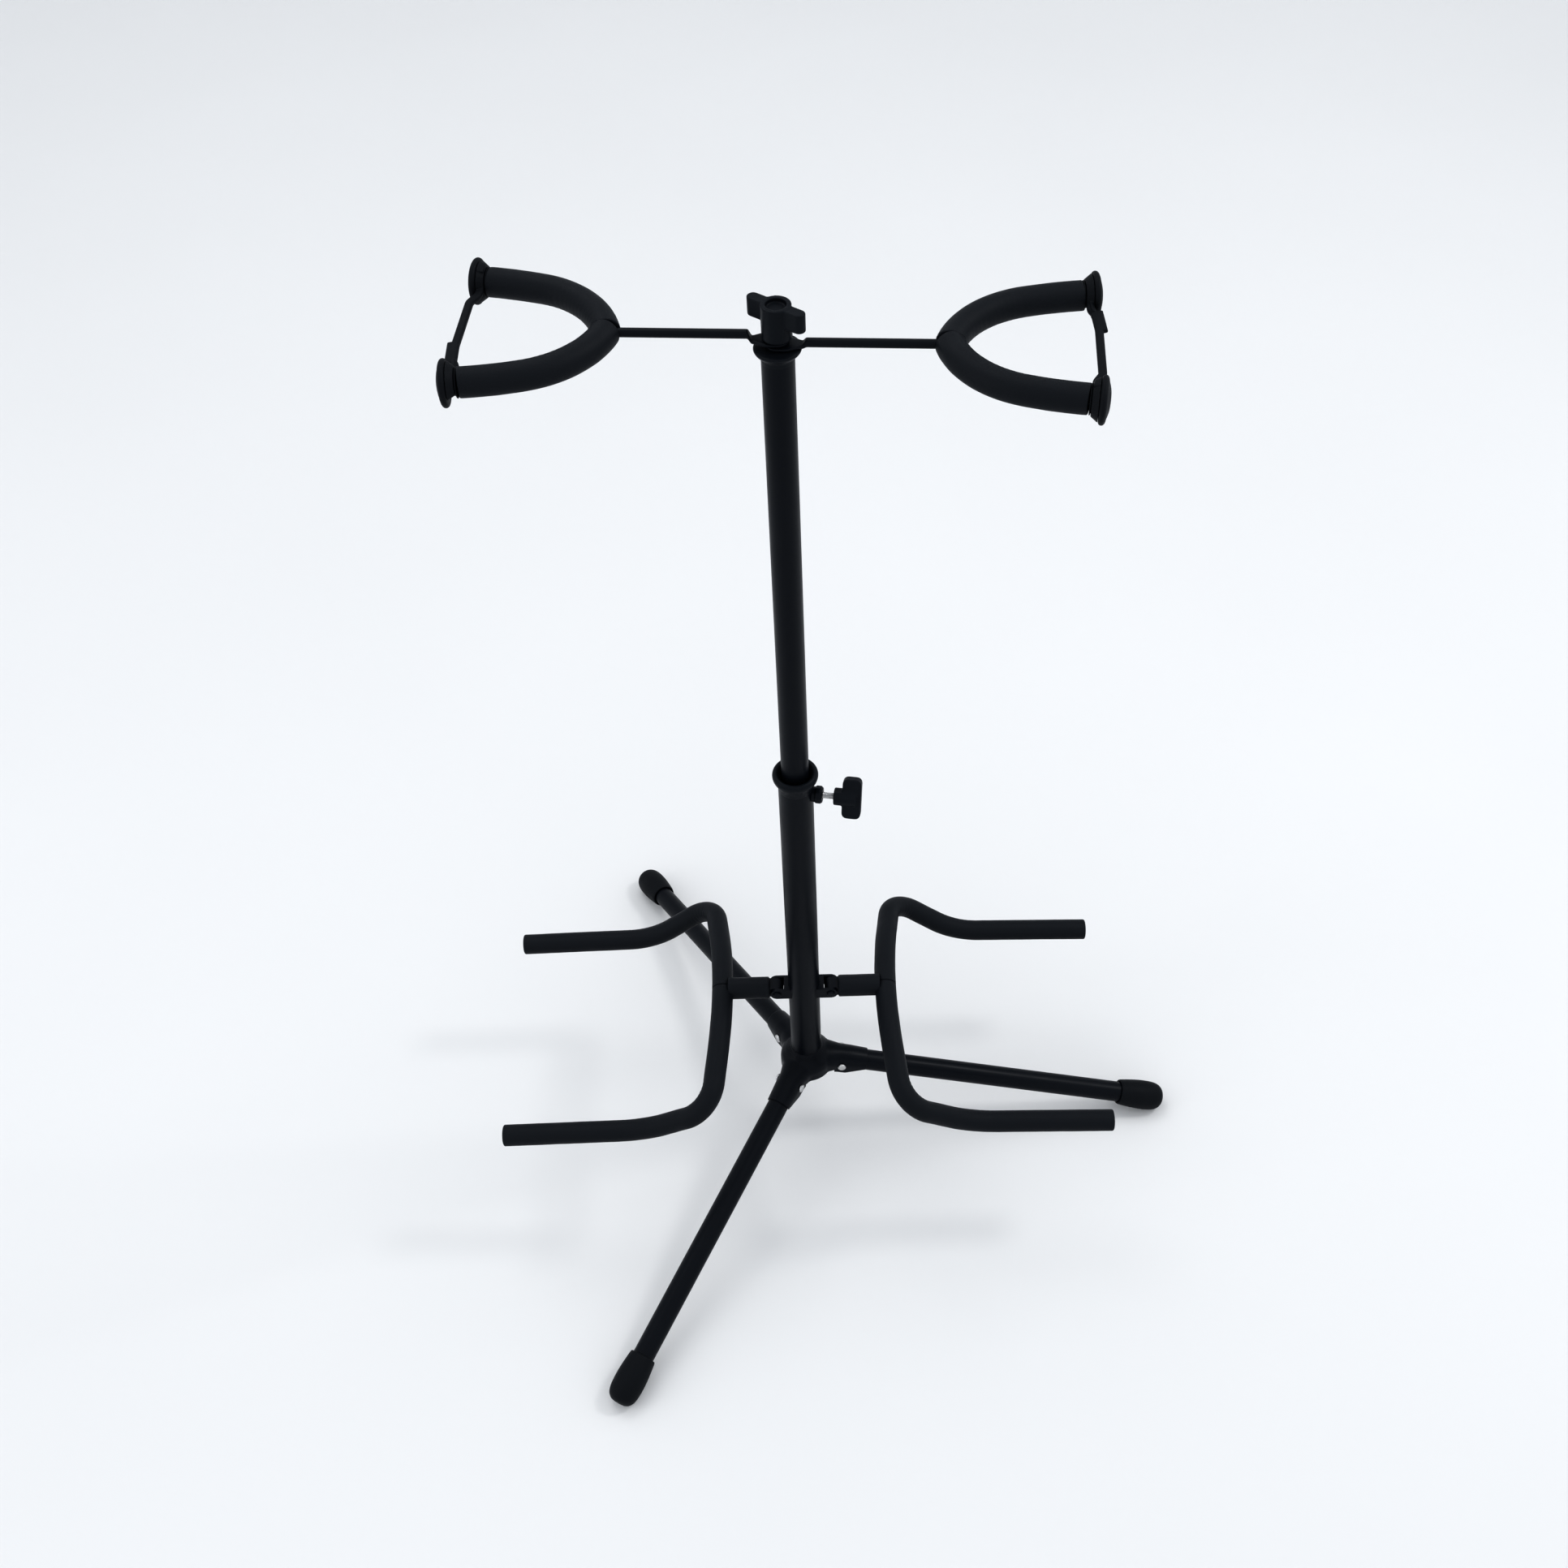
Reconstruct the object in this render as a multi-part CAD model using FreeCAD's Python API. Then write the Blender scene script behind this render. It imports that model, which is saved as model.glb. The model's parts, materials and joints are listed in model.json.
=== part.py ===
import FreeCAD, Part
import math
import os

from FreeCAD import Rotation, Vector

# A two-instrument guitar rack: three folding legs, a telescoping post, two folding lower
# cradles and two swivelling upper yokes. Millimetres, +Z up, floor at z = 0. Every piece is
# drawn with the post on the Z axis, and moved by POST_X so that the origin ends up under the
# middle of the whole object.

# ---- driving dimensions ----
POST_X = -42.47             # post axis in the finished frame
GAP = 0.3                   # air between faces that move past each other
RUNNING = 0.05              # radial clearance of pins, shafts and threads
SEATED = 0.05               # radial clearance of pieces pushed or moulded onto each other
SEAM_HALF = 0.15            # half the gap between two foam sleeves that meet end to end
STEEL = 1.5                 # tube wall

LEG_R = 11.1                # leg tube radius
LEG_SLOPE = 15.25           # degrees below the horizontal
LEG_ANGLES = {"right": 0.0, "back_left": 120.0, "front_left": -120.0}
PIVOT_REACH = 37.5          # leg pivot from the post axis
PIVOT_Z = 108.3
FOOT_START = 318.3          # pivot to the mouth of the rubber foot, along the leg
FOOT_LENGTH = 51.0
LEG_IN_FOOT = 39.0

HUB_TOP = 131.0
HUB_BOTTOM = 104.0
HUB_R = 28.0                # round middle of the pressed hub
HUB_SHEET = 2.0
HUB_EDGE = 7.0              # rounding of the dome's upper edge
CHANNEL_R = 13.8            # outside radius of the hub's arms
CHANNEL_DROP = 10.0         # side flanges below the leg's axis
CHANNEL_END = 26.5          # hub arm past the pivot, along the leg
RIVET_R = 2.5
RIVET_HEAD_R = 4.5
RIVET_HEAD = 2.0            # height of the domed head

POST_R = 16.0
POST_TOP = 549.0
WELD_LEG = 3.0              # size of the bead round the foot of the post
COLLAR_TOP = 563.0
COLLAR_R = 21.2
COLLAR_SEAT = 543.0         # lower end of the collar's spigot
BUSH_BOTTOM = 500.0

CLAMP_Z = 535.0
CLAMP_TURN = -10.0          # degrees, the clamp's axis from the right-hand leg
BOSS_R = 7.0
BOSS_END = 24.8
CLAMP_SCREW_R = 3.0
CLAMP_HUB_R = 7.8
CLAMP_KNOB_START = 35.5
CLAMP_WING_START = 42.9
CLAMP_WING_END = 60.3
CLAMP_WING_SPAN = 40.0
CLAMP_WING_THICK = 8.5
CLAMP_WING_TILT = 20.0      # degrees between the wing and the vertical
PAD_R = 5.2
PAD_THICK = 1.8

TUBE_R = 12.5
TUBE_BOTTOM = 452.0
TUBE_TOP = 1006.0
GLIDE_DROP = 10.0           # shoulder of the plug below the tube's lower end
GLIDE_PLUG = 18.0
CAP_R = 17.4
CAP_TOP = 1013.0
CAP_BOTTOM = 1000.0
INSERT_R = 5.5

YOKE_TURN = -4.5            # degrees, both yokes as they stand clamped
EYE_THICK = 3.2
EYE_R = 9.0
YOKE_ROD_R = 3.5
YOKE_ROD_Z = {"left": 1023.0, "right": 1016.5}
EYE_Z = {"left": CAP_TOP + 1.65 * EYE_THICK, "right": CAP_TOP + 0.55 * EYE_THICK}
EYE_NECK = 16.5             # where the flattened end starts to rise into the rod
ROD_START = 21.0
FORK_X = 124.0              # where the two arms of the fork leave the stem
FORK_HEADING = 75.6         # degrees between the stem and an arm as it leaves
FORK_BEND_R = 77.2
FORK_SHOULDER_HEADING = 16.2
FORK_SWEEP_R = 282.0        # the slower bend from the shoulder to the tip
FORK_TIP_HEADING = 5.8
YOKE_FOAM_R = 11.1
FLANGE_R = 17.0
NECK_R = 9.0
NECK_LENGTH = 6.0
CAP_PLATE = 1.2             # thin plate of the end cap against the foam
STRAP_R = 2.6
STRAP_RING_R = 13.5
STRAP_WIDTH = 4.2
STRAP_OUT = 3.0             # the band's middle stretch beyond the flanges' inner faces

TOP_STUD_R = 4.0
TOP_KNOB_R = 11.0
TOP_KNOB_BOTTOM = 1021.5
TOP_KNOB_TOP = 1048.0
TOP_WING_BOTTOM = 1033.0
TOP_WING_SPAN = 50.0
TOP_WING_THICK = 9.5
TOP_WING_TURN = -37.0
TOP_RECESS_R = 7.4
TOP_RECESS = 7.0
WASHER_THICK = 1.2

HINGE_X = 27.5              # cradle hinge from the post axis
HINGE_Z = 237.0
TONGUE_HALF = 7.0
TONGUE_R = 6.5
EAR_THICK = 2.5
EAR_R = 7.0
BRACKET_BACK = 20.6         # face of the plate that closes the bracket behind the tongue
PIN_R = 2.5
PIN_HEAD_R = 4.2
PIN_HEAD = 1.8
CRADLE_ROD_R = 4.0
STUB_R = 6.0
STUB_FOAM_R = 11.2
STUB_FOAM_START = 35.3
CRADLE_FOAM_R = 10.9
CRADLE_CROWN = (79.0, 0.0, 244.6)
CRADLE_CORNER = (96.0, 132.5, 213.0)
CRADLE_DIP = (166.0, 122.5, 166.4)
CRADLE_END = (305.0, 122.5, 162.5)
CRADLE_RADII = (300.0, 34.0, 90.0)
FOAM_PAST_ROD = 5.0

ALL_ROUND = 60.0            # reach of cutters that clear everything beyond a face

X_AXIS = Vector(1, 0, 0)
Y_AXIS = Vector(0, 1, 0)
Z_AXIS = Vector(0, 0, 1)
NOWHERE = Vector(0, 0, 0)


# ---- helpers ----
def save(name, shape):
    """Moves a finished piece from the post's frame to the object's frame and writes it."""
    placed = shape.copy()
    placed.translate(Vector(POST_X, 0, 0))
    placed.exportStep("parts/" + name + ".step")
    pieces.append(placed)


def rod(radius, start, end):
    """A solid round bar between two points."""
    start = Vector(*start)
    run = Vector(*end) - start
    return Part.makeCylinder(radius, run.Length, start, run)


def pipe_wall(outer, inner, start, end):
    """A straight tube between two points."""
    return rod(outer, start, end).cut(rod(inner, start, end))


def turned(profile):
    """Revolves a closed outline of (radius, height) corners about Z."""
    corners = [Vector(r, 0, z) for r, z in profile]
    face = Part.Face(Part.makePolygon(corners + corners[:1]))
    return face.revolve(NOWHERE, Z_AXIS, 360)


def rounded_path(points, radii):
    """A wire through the points, with a tangent arc of the given radius at each inner one."""
    points = [Vector(*p) for p in points]
    edges = []
    at = points[0]
    for before, corner, after, radius in zip(points, points[1:], points[2:], radii):
        back = (before - corner).normalize()
        ahead = (after - corner).normalize()
        half_turn = (math.pi - back.getAngle(ahead)) / 2
        reach = radius * math.tan(half_turn)
        middle = (back + ahead).normalize() * (radius / math.cos(half_turn) - radius)
        arc_start = corner + back * reach
        if (arc_start - at).Length > 1e-4:
            edges.append(Part.LineSegment(at, arc_start).toShape())
        arc_end = corner + ahead * reach
        edges.append(Part.Arc(arc_start, corner + middle, arc_end).toShape())
        at = arc_end
    edges.append(Part.LineSegment(at, points[-1]).toShape())
    return Part.Wire(edges)


def bent_rod(path, radius):
    """A round bar swept along a wire."""
    start = path.Edges[0].valueAt(path.Edges[0].FirstParameter)
    heading = path.Edges[0].tangentAt(path.Edges[0].FirstParameter)
    section = Part.Wire(Part.makeCircle(radius, start, heading))
    return path.makePipeShell([section], True, False)


def prism(outline, direction):
    """Extrudes a closed outline of 3D points."""
    corners = [Vector(*p) for p in outline]
    return Part.Face(Part.makePolygon(corners + corners[:1])).extrude(Vector(*direction))


def bar_with_round_ends(span, thick, height):
    """A flat bar centred on the origin, along X, with half-round ends, standing up from z = 0."""
    half = span / 2 - thick / 2
    block = Part.makeBox(2 * half, thick, height, Vector(-half, -thick / 2, 0))
    ends = [Part.makeCylinder(thick / 2, height, Vector(x, 0, 0)) for x in (-half, half)]
    return block.fuse(ends).removeSplitter()


def mirrored_x(shape):
    return shape.mirror(NOWHERE, X_AXIS)


def mirrored_y(shape):
    return shape.mirror(NOWHERE, Y_AXIS)


def turned_about_post(shape, degrees):
    placed = shape.copy()
    placed.rotate(NOWHERE, Z_AXIS, degrees)
    return placed


# ---- base: hub, legs and feet ----
def place_on_leg(shape, angle):
    """Moves a piece from the leg's own frame (pivot at the origin, leg along +X) to the rack."""
    placed = shape.copy()
    placed.rotate(NOWHERE, Y_AXIS, LEG_SLOPE)
    placed.translate(Vector(PIVOT_REACH, 0, PIVOT_Z))
    placed.rotate(NOWHERE, Z_AXIS, angle)
    return placed


def leg_channel(radius, drop, end):
    """The solid outline of one hub arm: half-round on top, straight flanges below."""
    start = -PIVOT_REACH / math.cos(math.radians(LEG_SLOPE))
    top = rod(radius, (start, 0, 0), (end, 0, 0))
    flanges = Part.makeBox(end - start, 2 * radius, drop, Vector(start, -radius, -drop))
    return top.fuse(flanges)


def dome(radius, edge, bottom, top):
    """A solid drum with a rounded upper edge."""
    drum = Part.makeCylinder(radius, top - bottom, Vector(0, 0, bottom))
    rim = [e for e in drum.Edges if e.Closed and abs(e.BoundBox.ZMin - top) < 1e-3]
    return drum.makeFillet(edge, rim)


def hub_spider():
    """Pressed sheet hub: a round dome with three channels that hold the legs."""
    solid = dome(HUB_R, HUB_EDGE, HUB_BOTTOM, HUB_TOP)
    inner_r = HUB_R - HUB_SHEET
    ceiling = HUB_TOP - HUB_SHEET
    space = dome(inner_r, HUB_EDGE - HUB_SHEET, HUB_BOTTOM - CHANNEL_DROP, ceiling)
    arm = leg_channel(CHANNEL_R, CHANNEL_DROP, CHANNEL_END)
    bore = leg_channel(CHANNEL_R - HUB_SHEET, ALL_ROUND, CHANNEL_END + 5)
    above_ceiling = Part.makeCylinder(ALL_ROUND, ALL_ROUND, Vector(0, 0, ceiling))
    rivet_hole = rod(RIVET_R + RUNNING, (0, -ALL_ROUND, 0), (0, ALL_ROUND, 0))
    for angle in LEG_ANGLES.values():
        solid = solid.fuse(place_on_leg(arm, angle))
        space = space.fuse(place_on_leg(bore, angle).cut(above_ceiling))
    hub = solid.cut(space)
    for angle in LEG_ANGLES.values():
        own_hole = rivet_hole.common(leg_channel(CHANNEL_R + 1, CHANNEL_DROP, CHANNEL_END))
        hub = hub.cut(place_on_leg(own_hole, angle))
    above_roof = Part.makeCylinder(ALL_ROUND, ALL_ROUND, Vector(0, 0, HUB_TOP))
    return hub.cut(above_roof).removeSplitter()


def headed_pin(radius, reach, head_r, head):
    """A pin along Y with a domed head beyond y = reach at each end."""
    shank = rod(radius, (0, -reach - 0.5, 0), (0, reach + 0.5, 0))
    button = rod(head_r, (0, reach, 0), (0, reach + head, 0))
    rim = [e for e in button.Edges if e.Closed and e.BoundBox.YMin > reach + head / 2]
    button = button.makeFillet(0.75 * head, rim)
    return shank.fuse([button, mirrored_y(button)]).removeSplitter()


def leg_tube():
    """One leg: a tube with its inner end rounded about the pivot so that it can swing."""
    end = FOOT_START + LEG_IN_FOOT
    tube = pipe_wall(LEG_R, LEG_R - STEEL, (-LEG_R, 0, 0), (end, 0, 0))
    side = LEG_R + 1
    behind_pivot = Part.makeBox(side, 2 * side, 2 * side, Vector(-side, -side, -side))
    swing = Part.makeSphere(CHANNEL_R - HUB_SHEET - GAP)
    hole = rod(RIVET_R + RUNNING, (0, -side, 0), (0, side, 0))
    return tube.cut(behind_pivot.cut(swing)).cut(hole)


def leg_foot(angle):
    """A tapered rubber foot over the leg's end, flattened where it stands on the floor."""
    mouth_r = LEG_R + SEATED
    socket_end = LEG_IN_FOOT + 0.5
    outline = (
        (mouth_r, 0.0),
        (13.3, 0.0),
        (13.8, 1.2),
        (14.9, 11.0),
        (15.8, 21.0),
        (16.0, 29.0),
        (15.6, 38.0),
        (14.2, 43.5),
        (12.0, 47.3),
        (9.0, 49.8),
        (5.5, FOOT_LENGTH),
        (0.0, FOOT_LENGTH),
        (0.0, socket_end),
        (mouth_r, socket_end),
    )
    foot = turned(outline)
    foot.rotate(NOWHERE, Y_AXIS, 90)
    foot.translate(Vector(FOOT_START, 0, 0))
    foot = place_on_leg(foot, angle)
    ground = Part.makeBox(1200, 1200, 50, Vector(-600, -600, -50))
    return foot.cut(ground)


# ---- post and height clamp ----
def post_weld():
    """The weld bead around the foot of the post."""
    outline = (
        (POST_R, HUB_TOP),
        (POST_R + WELD_LEG, HUB_TOP),
        (POST_R + 0.7 * WELD_LEG, HUB_TOP + 0.6 * WELD_LEG),
        (POST_R, HUB_TOP + WELD_LEG),
    )
    return turned(outline)


def on_clamp_axis(radius, start, end):
    """A round bar along the height clamp's axis, from start to end away from the post axis."""
    return turned_about_post(rod(radius, (start, 0, CLAMP_Z), (end, 0, CLAMP_Z)), CLAMP_TURN)


def around_clamp(radius):
    """A bar on the post axis that trims the clamp's pieces to a round face."""
    return rod(radius, (0, 0, CLAMP_Z - 20), (0, 0, CLAMP_Z + 20))


def lower_post():
    post = pipe_wall(POST_R, POST_R - STEEL, (0, 0, HUB_TOP), (0, 0, POST_TOP))
    return post.cut(on_clamp_axis(PAD_R + 0.2, TUBE_R, POST_R + 4))


def post_collar():
    """Moulded bell mouth with a spigot inside the post."""
    spigot_r = POST_R - STEEL - SEATED
    outline = (
        (13.2, COLLAR_SEAT),
        (spigot_r, COLLAR_SEAT),
        (spigot_r, POST_TOP),
        (POST_R, POST_TOP),
        (17.2, 551.5),
        (19.4, 554.5),
        (20.8, 557.5),
        (COLLAR_R, 559.8),
        (20.6, 561.8),
        (19.2, COLLAR_TOP),
        (17.4, COLLAR_TOP),
        (16.0, 561.8),
        (15.4, 559.8),
        (15.4, 552.0),
        (13.2, 548.0),
    )
    return turned(outline)


def guide_bush():
    """Plastic sleeve between the two tubes, with a window for the clamp's shoe."""
    outer = POST_R - STEEL - SEATED
    bush = pipe_wall(outer, TUBE_R + 0.08, (0, 0, BUSH_BOTTOM), (0, 0, COLLAR_SEAT))
    return bush.cut(on_clamp_axis(PAD_R + 0.2, TUBE_R - 4, POST_R + 4))


def clamp_boss():
    """Threaded boss welded on the side of the post."""
    boss = rod(BOSS_R, (TUBE_R, 0, CLAMP_Z), (BOSS_END, 0, CLAMP_Z))
    outer_rim = [e for e in boss.Edges if e.Closed and e.BoundBox.XMin > BOSS_END - 0.1]
    boss = turned_about_post(boss.makeChamfer(1.2, outer_rim), CLAMP_TURN)
    boss = boss.cut(around_clamp(POST_R))
    boss = boss.cut(on_clamp_axis(PAD_R + 0.2, TUBE_R, POST_R + 1.6))
    return boss.cut(on_clamp_axis(CLAMP_SCREW_R + RUNNING, TUBE_R, BOSS_END + 5))


def clamp_pad():
    """Small shoe between the screw and the inner tube."""
    face = TUBE_R + RUNNING
    return on_clamp_axis(PAD_R, TUBE_R - 3, face + PAD_THICK).cut(around_clamp(face))


def clamp_screw():
    return on_clamp_axis(CLAMP_SCREW_R, TUBE_R + RUNNING + PAD_THICK, CLAMP_WING_START + 6)


def clamp_knob():
    """Hub and flat wing of the height clamp."""
    hub = rod(CLAMP_HUB_R, (CLAMP_KNOB_START, 0, 0), (CLAMP_WING_END - 4, 0, 0))
    wing_depth = CLAMP_WING_END - CLAMP_WING_START
    wing = bar_with_round_ends(CLAMP_WING_SPAN, CLAMP_WING_THICK, wing_depth)
    wing.rotate(NOWHERE, Y_AXIS, 90)
    wing.translate(Vector(CLAMP_WING_START, 0, 0))
    knob = hub.fuse(wing).removeSplitter()
    knob.rotate(NOWHERE, X_AXIS, -CLAMP_WING_TILT)
    knob.translate(Vector(0, 0, CLAMP_Z))
    knob = turned_about_post(knob, CLAMP_TURN)
    return knob.cut(on_clamp_axis(CLAMP_SCREW_R + SEATED, 30, CLAMP_WING_START + 6))


# ---- sliding tube and its head ----
def upper_tube():
    return pipe_wall(TUBE_R, TUBE_R - STEEL, (0, 0, TUBE_BOTTOM), (0, 0, TUBE_TOP))


def tube_glide():
    """Plug in the tube's lower end, with a shoulder that slides in the post."""
    shoulder = POST_R - STEEL - 0.1
    plug = TUBE_R - STEEL - SEATED
    base = TUBE_BOTTOM - GLIDE_DROP
    outline = (
        (0, base),
        (shoulder - 1, base),
        (shoulder, base + 1),
        (shoulder, TUBE_BOTTOM),
        (plug, TUBE_BOTTOM),
        (plug, TUBE_BOTTOM + GLIDE_PLUG),
        (0, TUBE_BOTTOM + GLIDE_PLUG),
    )
    return turned(outline)


def top_cap():
    """Bowl-shaped moulding on the tube's top; the yokes sit on its flat face."""
    plug = TUBE_R - STEEL - SEATED
    sleeve = TUBE_R + SEATED
    outline = (
        (INSERT_R, CAP_TOP),
        (16.2, CAP_TOP),
        (CAP_R, CAP_TOP - 1.4),
        (CAP_R, CAP_TOP - 3.0),
        (16.4, CAP_TOP - 5.6),
        (14.6, CAP_TOP - 8.2),
        (13.4, CAP_TOP - 9.6),
        (13.2, CAP_BOTTOM),
        (sleeve, CAP_BOTTOM),
        (sleeve, TUBE_TOP),
        (plug, TUBE_TOP),
        (plug, TUBE_TOP - 22),
        (INSERT_R, TUBE_TOP - 22),
    )
    return turned(outline)


def cap_insert():
    """Threaded metal insert in the cap for the clamping stud."""
    bore = TOP_STUD_R + RUNNING
    return pipe_wall(INSERT_R - SEATED, bore, (0, 0, TUBE_TOP - 18), (0, 0, CAP_TOP - 0.3))


def top_stud():
    return rod(TOP_STUD_R, (0, 0, TUBE_TOP - 14), (0, 0, TOP_WING_BOTTOM))


def top_washer():
    z = TOP_KNOB_BOTTOM - WASHER_THICK - 0.1
    return pipe_wall(8.5, TOP_STUD_R + RUNNING, (0, 0, z), (0, 0, z + WASHER_THICK))


def top_knob():
    """Tall hub with a flat wing across its top and a blind recess in the middle."""
    height = TOP_KNOB_TOP - TOP_KNOB_BOTTOM
    hub = Part.makeCone(TOP_KNOB_R - 0.8, TOP_KNOB_R, height, Vector(0, 0, TOP_KNOB_BOTTOM))
    wing_height = TOP_KNOB_TOP - TOP_WING_BOTTOM
    wing = bar_with_round_ends(TOP_WING_SPAN, TOP_WING_THICK, wing_height)
    wing.rotate(NOWHERE, Z_AXIS, TOP_WING_TURN)
    wing.translate(Vector(0, 0, TOP_WING_BOTTOM))
    recess = rod(TOP_RECESS_R, (0, 0, TOP_KNOB_TOP - TOP_RECESS), (0, 0, TOP_KNOB_TOP + 1))
    stud_hole = rod(TOP_STUD_R + SEATED, (0, 0, TOP_KNOB_BOTTOM - 1), (0, 0, TOP_WING_BOTTOM))
    return hub.fuse(wing).removeSplitter().cut([recess, stud_hole])


# ---- yokes: each is drawn opening towards +X, then placed ----
def bend(start, heading, new_heading, radius):
    """An arc in the XY plane that turns right from one heading to another, and its end."""
    centre = start + Vector(math.sin(math.radians(heading)), -math.cos(math.radians(heading)), 0) * radius
    points = [start]
    for way in ((heading + new_heading) / 2, new_heading):
        spoke = Vector(-math.sin(math.radians(way)), math.cos(math.radians(way)), 0)
        points.append(centre + spoke * radius)
    return Part.Arc(*points).toShape(), points[-1]


def fork_path(past_tip):
    """Half of the fork, from the stem to a distance past the tip."""
    first, shoulder = bend(Vector(FORK_X, 0, 0), FORK_HEADING, FORK_SHOULDER_HEADING, FORK_BEND_R)
    last_heading = FORK_TIP_HEADING - math.degrees(past_tip / FORK_SWEEP_R)
    second, end = bend(shoulder, FORK_SHOULDER_HEADING, last_heading, FORK_SWEEP_R)
    return Part.Wire([first, second]), end


def fork_rod():
    half = bent_rod(fork_path(2.5)[0], YOKE_ROD_R)
    return half.fuse(mirrored_y(half))


def eye_plate(rod_z, eye_z):
    """Flattened inner end of a yoke arm, stepped up to the rod's height."""
    half = EYE_THICK / 2
    end = ROD_START + 3
    side = (
        (end, rod_z + half),
        (ROD_START, rod_z + half),
        (EYE_NECK, eye_z + half),
        (-EYE_R, eye_z + half),
        (-EYE_R, eye_z - half),
        (EYE_NECK + 1, eye_z - half),
        (ROD_START + 1, rod_z - half),
        (end, rod_z - half),
    )
    plate = prism([(x, -EYE_R, z) for x, z in side], (0, 2 * EYE_R, 0))
    low = eye_z - ALL_ROUND / 2
    disc = Part.makeCylinder(EYE_R, ALL_ROUND, Vector(0, 0, low))
    plan = ((0, -EYE_R, low), (end, -YOKE_ROD_R, low), (end, YOKE_ROD_R, low), (0, EYE_R, low))
    return plate.common(disc.fuse(prism(plan, (0, 0, ALL_ROUND))))


def yoke_arm(side):
    """Eye, stem and fork of one yoke, bent and welded from one rod."""
    rod_z = YOKE_ROD_Z[side]
    stem = rod(YOKE_ROD_R, (ROD_START, 0, rod_z), (FORK_X, 0, rod_z))
    fork = at_rod_height(fork_rod(), side)
    arm = eye_plate(rod_z, EYE_Z[side]).fuse([stem, fork]).removeSplitter()
    return arm.cut(rod(TOP_STUD_R + RUNNING, (0, 0, rod_z - 30), (0, 0, rod_z + 30)))


def yoke_foam():
    """The back foam sleeve of one fork, at z = 0."""
    path = fork_path(-NECK_LENGTH - CAP_PLATE - 0.4)[0]
    bore = YOKE_ROD_R + SEATED
    sleeve = bent_rod(path, YOKE_FOAM_R).cut(bent_rod(path, bore))
    seam = Part.makeBox(60, 20, 60, Vector(FORK_X - 30, SEAM_HALF - 20, -30))
    return sleeve.cut([seam, rod(bore, (FORK_X - 30, 0, 0), (FORK_X, 0, 0))])


def to_fork_tip(shape, side_of_fork):
    """Moves a piece turned about Z to the back (+1) or front (-1) tip, facing outwards."""
    tip = fork_path(0)[1]
    placed = shape.copy()
    placed.rotate(NOWHERE, Y_AXIS, 90)
    placed.rotate(NOWHERE, Z_AXIS, side_of_fork * FORK_TIP_HEADING)
    placed.translate(Vector(tip.x, side_of_fork * tip.y, 0))
    return placed


def yoke_end_cap():
    """Spool with a domed flange; the rubber strap hooks round its neck."""
    rod_r = YOKE_ROD_R + 0.2
    plate_r = YOKE_FOAM_R - 0.2
    outline = (
        (rod_r, -NECK_LENGTH - CAP_PLATE),
        (plate_r, -NECK_LENGTH - CAP_PLATE),
        (plate_r, -NECK_LENGTH),
        (NECK_R, -NECK_LENGTH),
        (NECK_R, 0.0),
        (15.8, 0.0),
        (FLANGE_R, 1.2),
        (FLANGE_R, 2.4),
        (15.6, 3.9),
        (11.5, 5.6),
        (6.0, 6.6),
        (0.0, 6.9),
        (0.0, 3.0),
        (rod_r, 3.0),
    )
    return to_fork_tip(turned(outline), 1)


def strap():
    """Rubber strap of one yoke: a ring on the back neck, an open hook on the front neck."""
    tip = fork_path(0)[1]
    middle = -NECK_LENGTH / 2
    inner = NECK_R + 0.1
    half = STRAP_WIDTH / 2
    outline = (
        (inner, middle - half),
        (STRAP_RING_R, middle - half),
        (STRAP_RING_R, middle + half),
        (inner, middle + half),
    )
    ring = turned(outline)
    opening = Part.makeBox(40, 2 * inner, 20, Vector(0, -inner, -10))
    below_hook = Part.makeBox(40, 60, 20, Vector(4, -30, -10))
    hook = ring.cut([opening, below_hook])
    neck_x = tip.x + middle + STRAP_RING_R * math.tan(math.radians(FORK_TIP_HEADING))
    band_x = tip.x + STRAP_OUT
    root = tip.y - (inner + STRAP_RING_R) / 2
    past_flange = tip.y - FLANGE_R - STRAP_R - GAP
    half_span = past_flange - 9
    plan = (
        (neck_x, -root),
        (neck_x, -past_flange),
        (band_x, -half_span),
        (band_x, half_span),
        (neck_x, past_flange),
        (neck_x, root),
    )
    band = bent_rod(rounded_path([(x, y, 0) for x, y in plan], (8, 8, 8, 8)), STRAP_R)
    return to_fork_tip(ring, 1).fuse([to_fork_tip(hook, -1), band]).removeSplitter()


def at_rod_height(shape, side):
    placed = shape.copy()
    placed.translate(Vector(0, 0, YOKE_ROD_Z[side]))
    return placed


def place_yoke(shape, side):
    """Turns a piece drawn opening towards +X to its own side, at the clamped angle."""
    half_turn = 180.0 if side == "left" else 0.0
    return turned_about_post(shape, half_turn + YOKE_TURN)


# ---- cradles: each is drawn on the +X side ----
def cradle_bracket():
    """U-shaped hinge bracket welded to the post."""
    width = TONGUE_HALF + GAP + EAR_THICK
    root = POST_R - 6
    low = HINGE_Z - EAR_R
    back = Part.makeBox(BRACKET_BACK - root, 2 * width, 2 * EAR_R, Vector(root, -width, low))
    plate = Part.makeBox(HINGE_X - root, EAR_THICK, 2 * EAR_R, Vector(root, width - EAR_THICK, low))
    nose = rod(EAR_R, (HINGE_X, width - EAR_THICK, HINGE_Z), (HINGE_X, width, HINGE_Z))
    ear = plate.fuse(nose)
    bracket = back.fuse([ear, mirrored_y(ear)]).removeSplitter()
    post = rod(POST_R, (0, 0, HINGE_Z - ALL_ROUND), (0, 0, HINGE_Z + ALL_ROUND))
    return bracket.cut([post, hinge_bore()])


def hinge_bore():
    return rod(PIN_R + RUNNING, (HINGE_X, -ALL_ROUND, HINGE_Z), (HINGE_X, ALL_ROUND, HINGE_Z))


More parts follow.
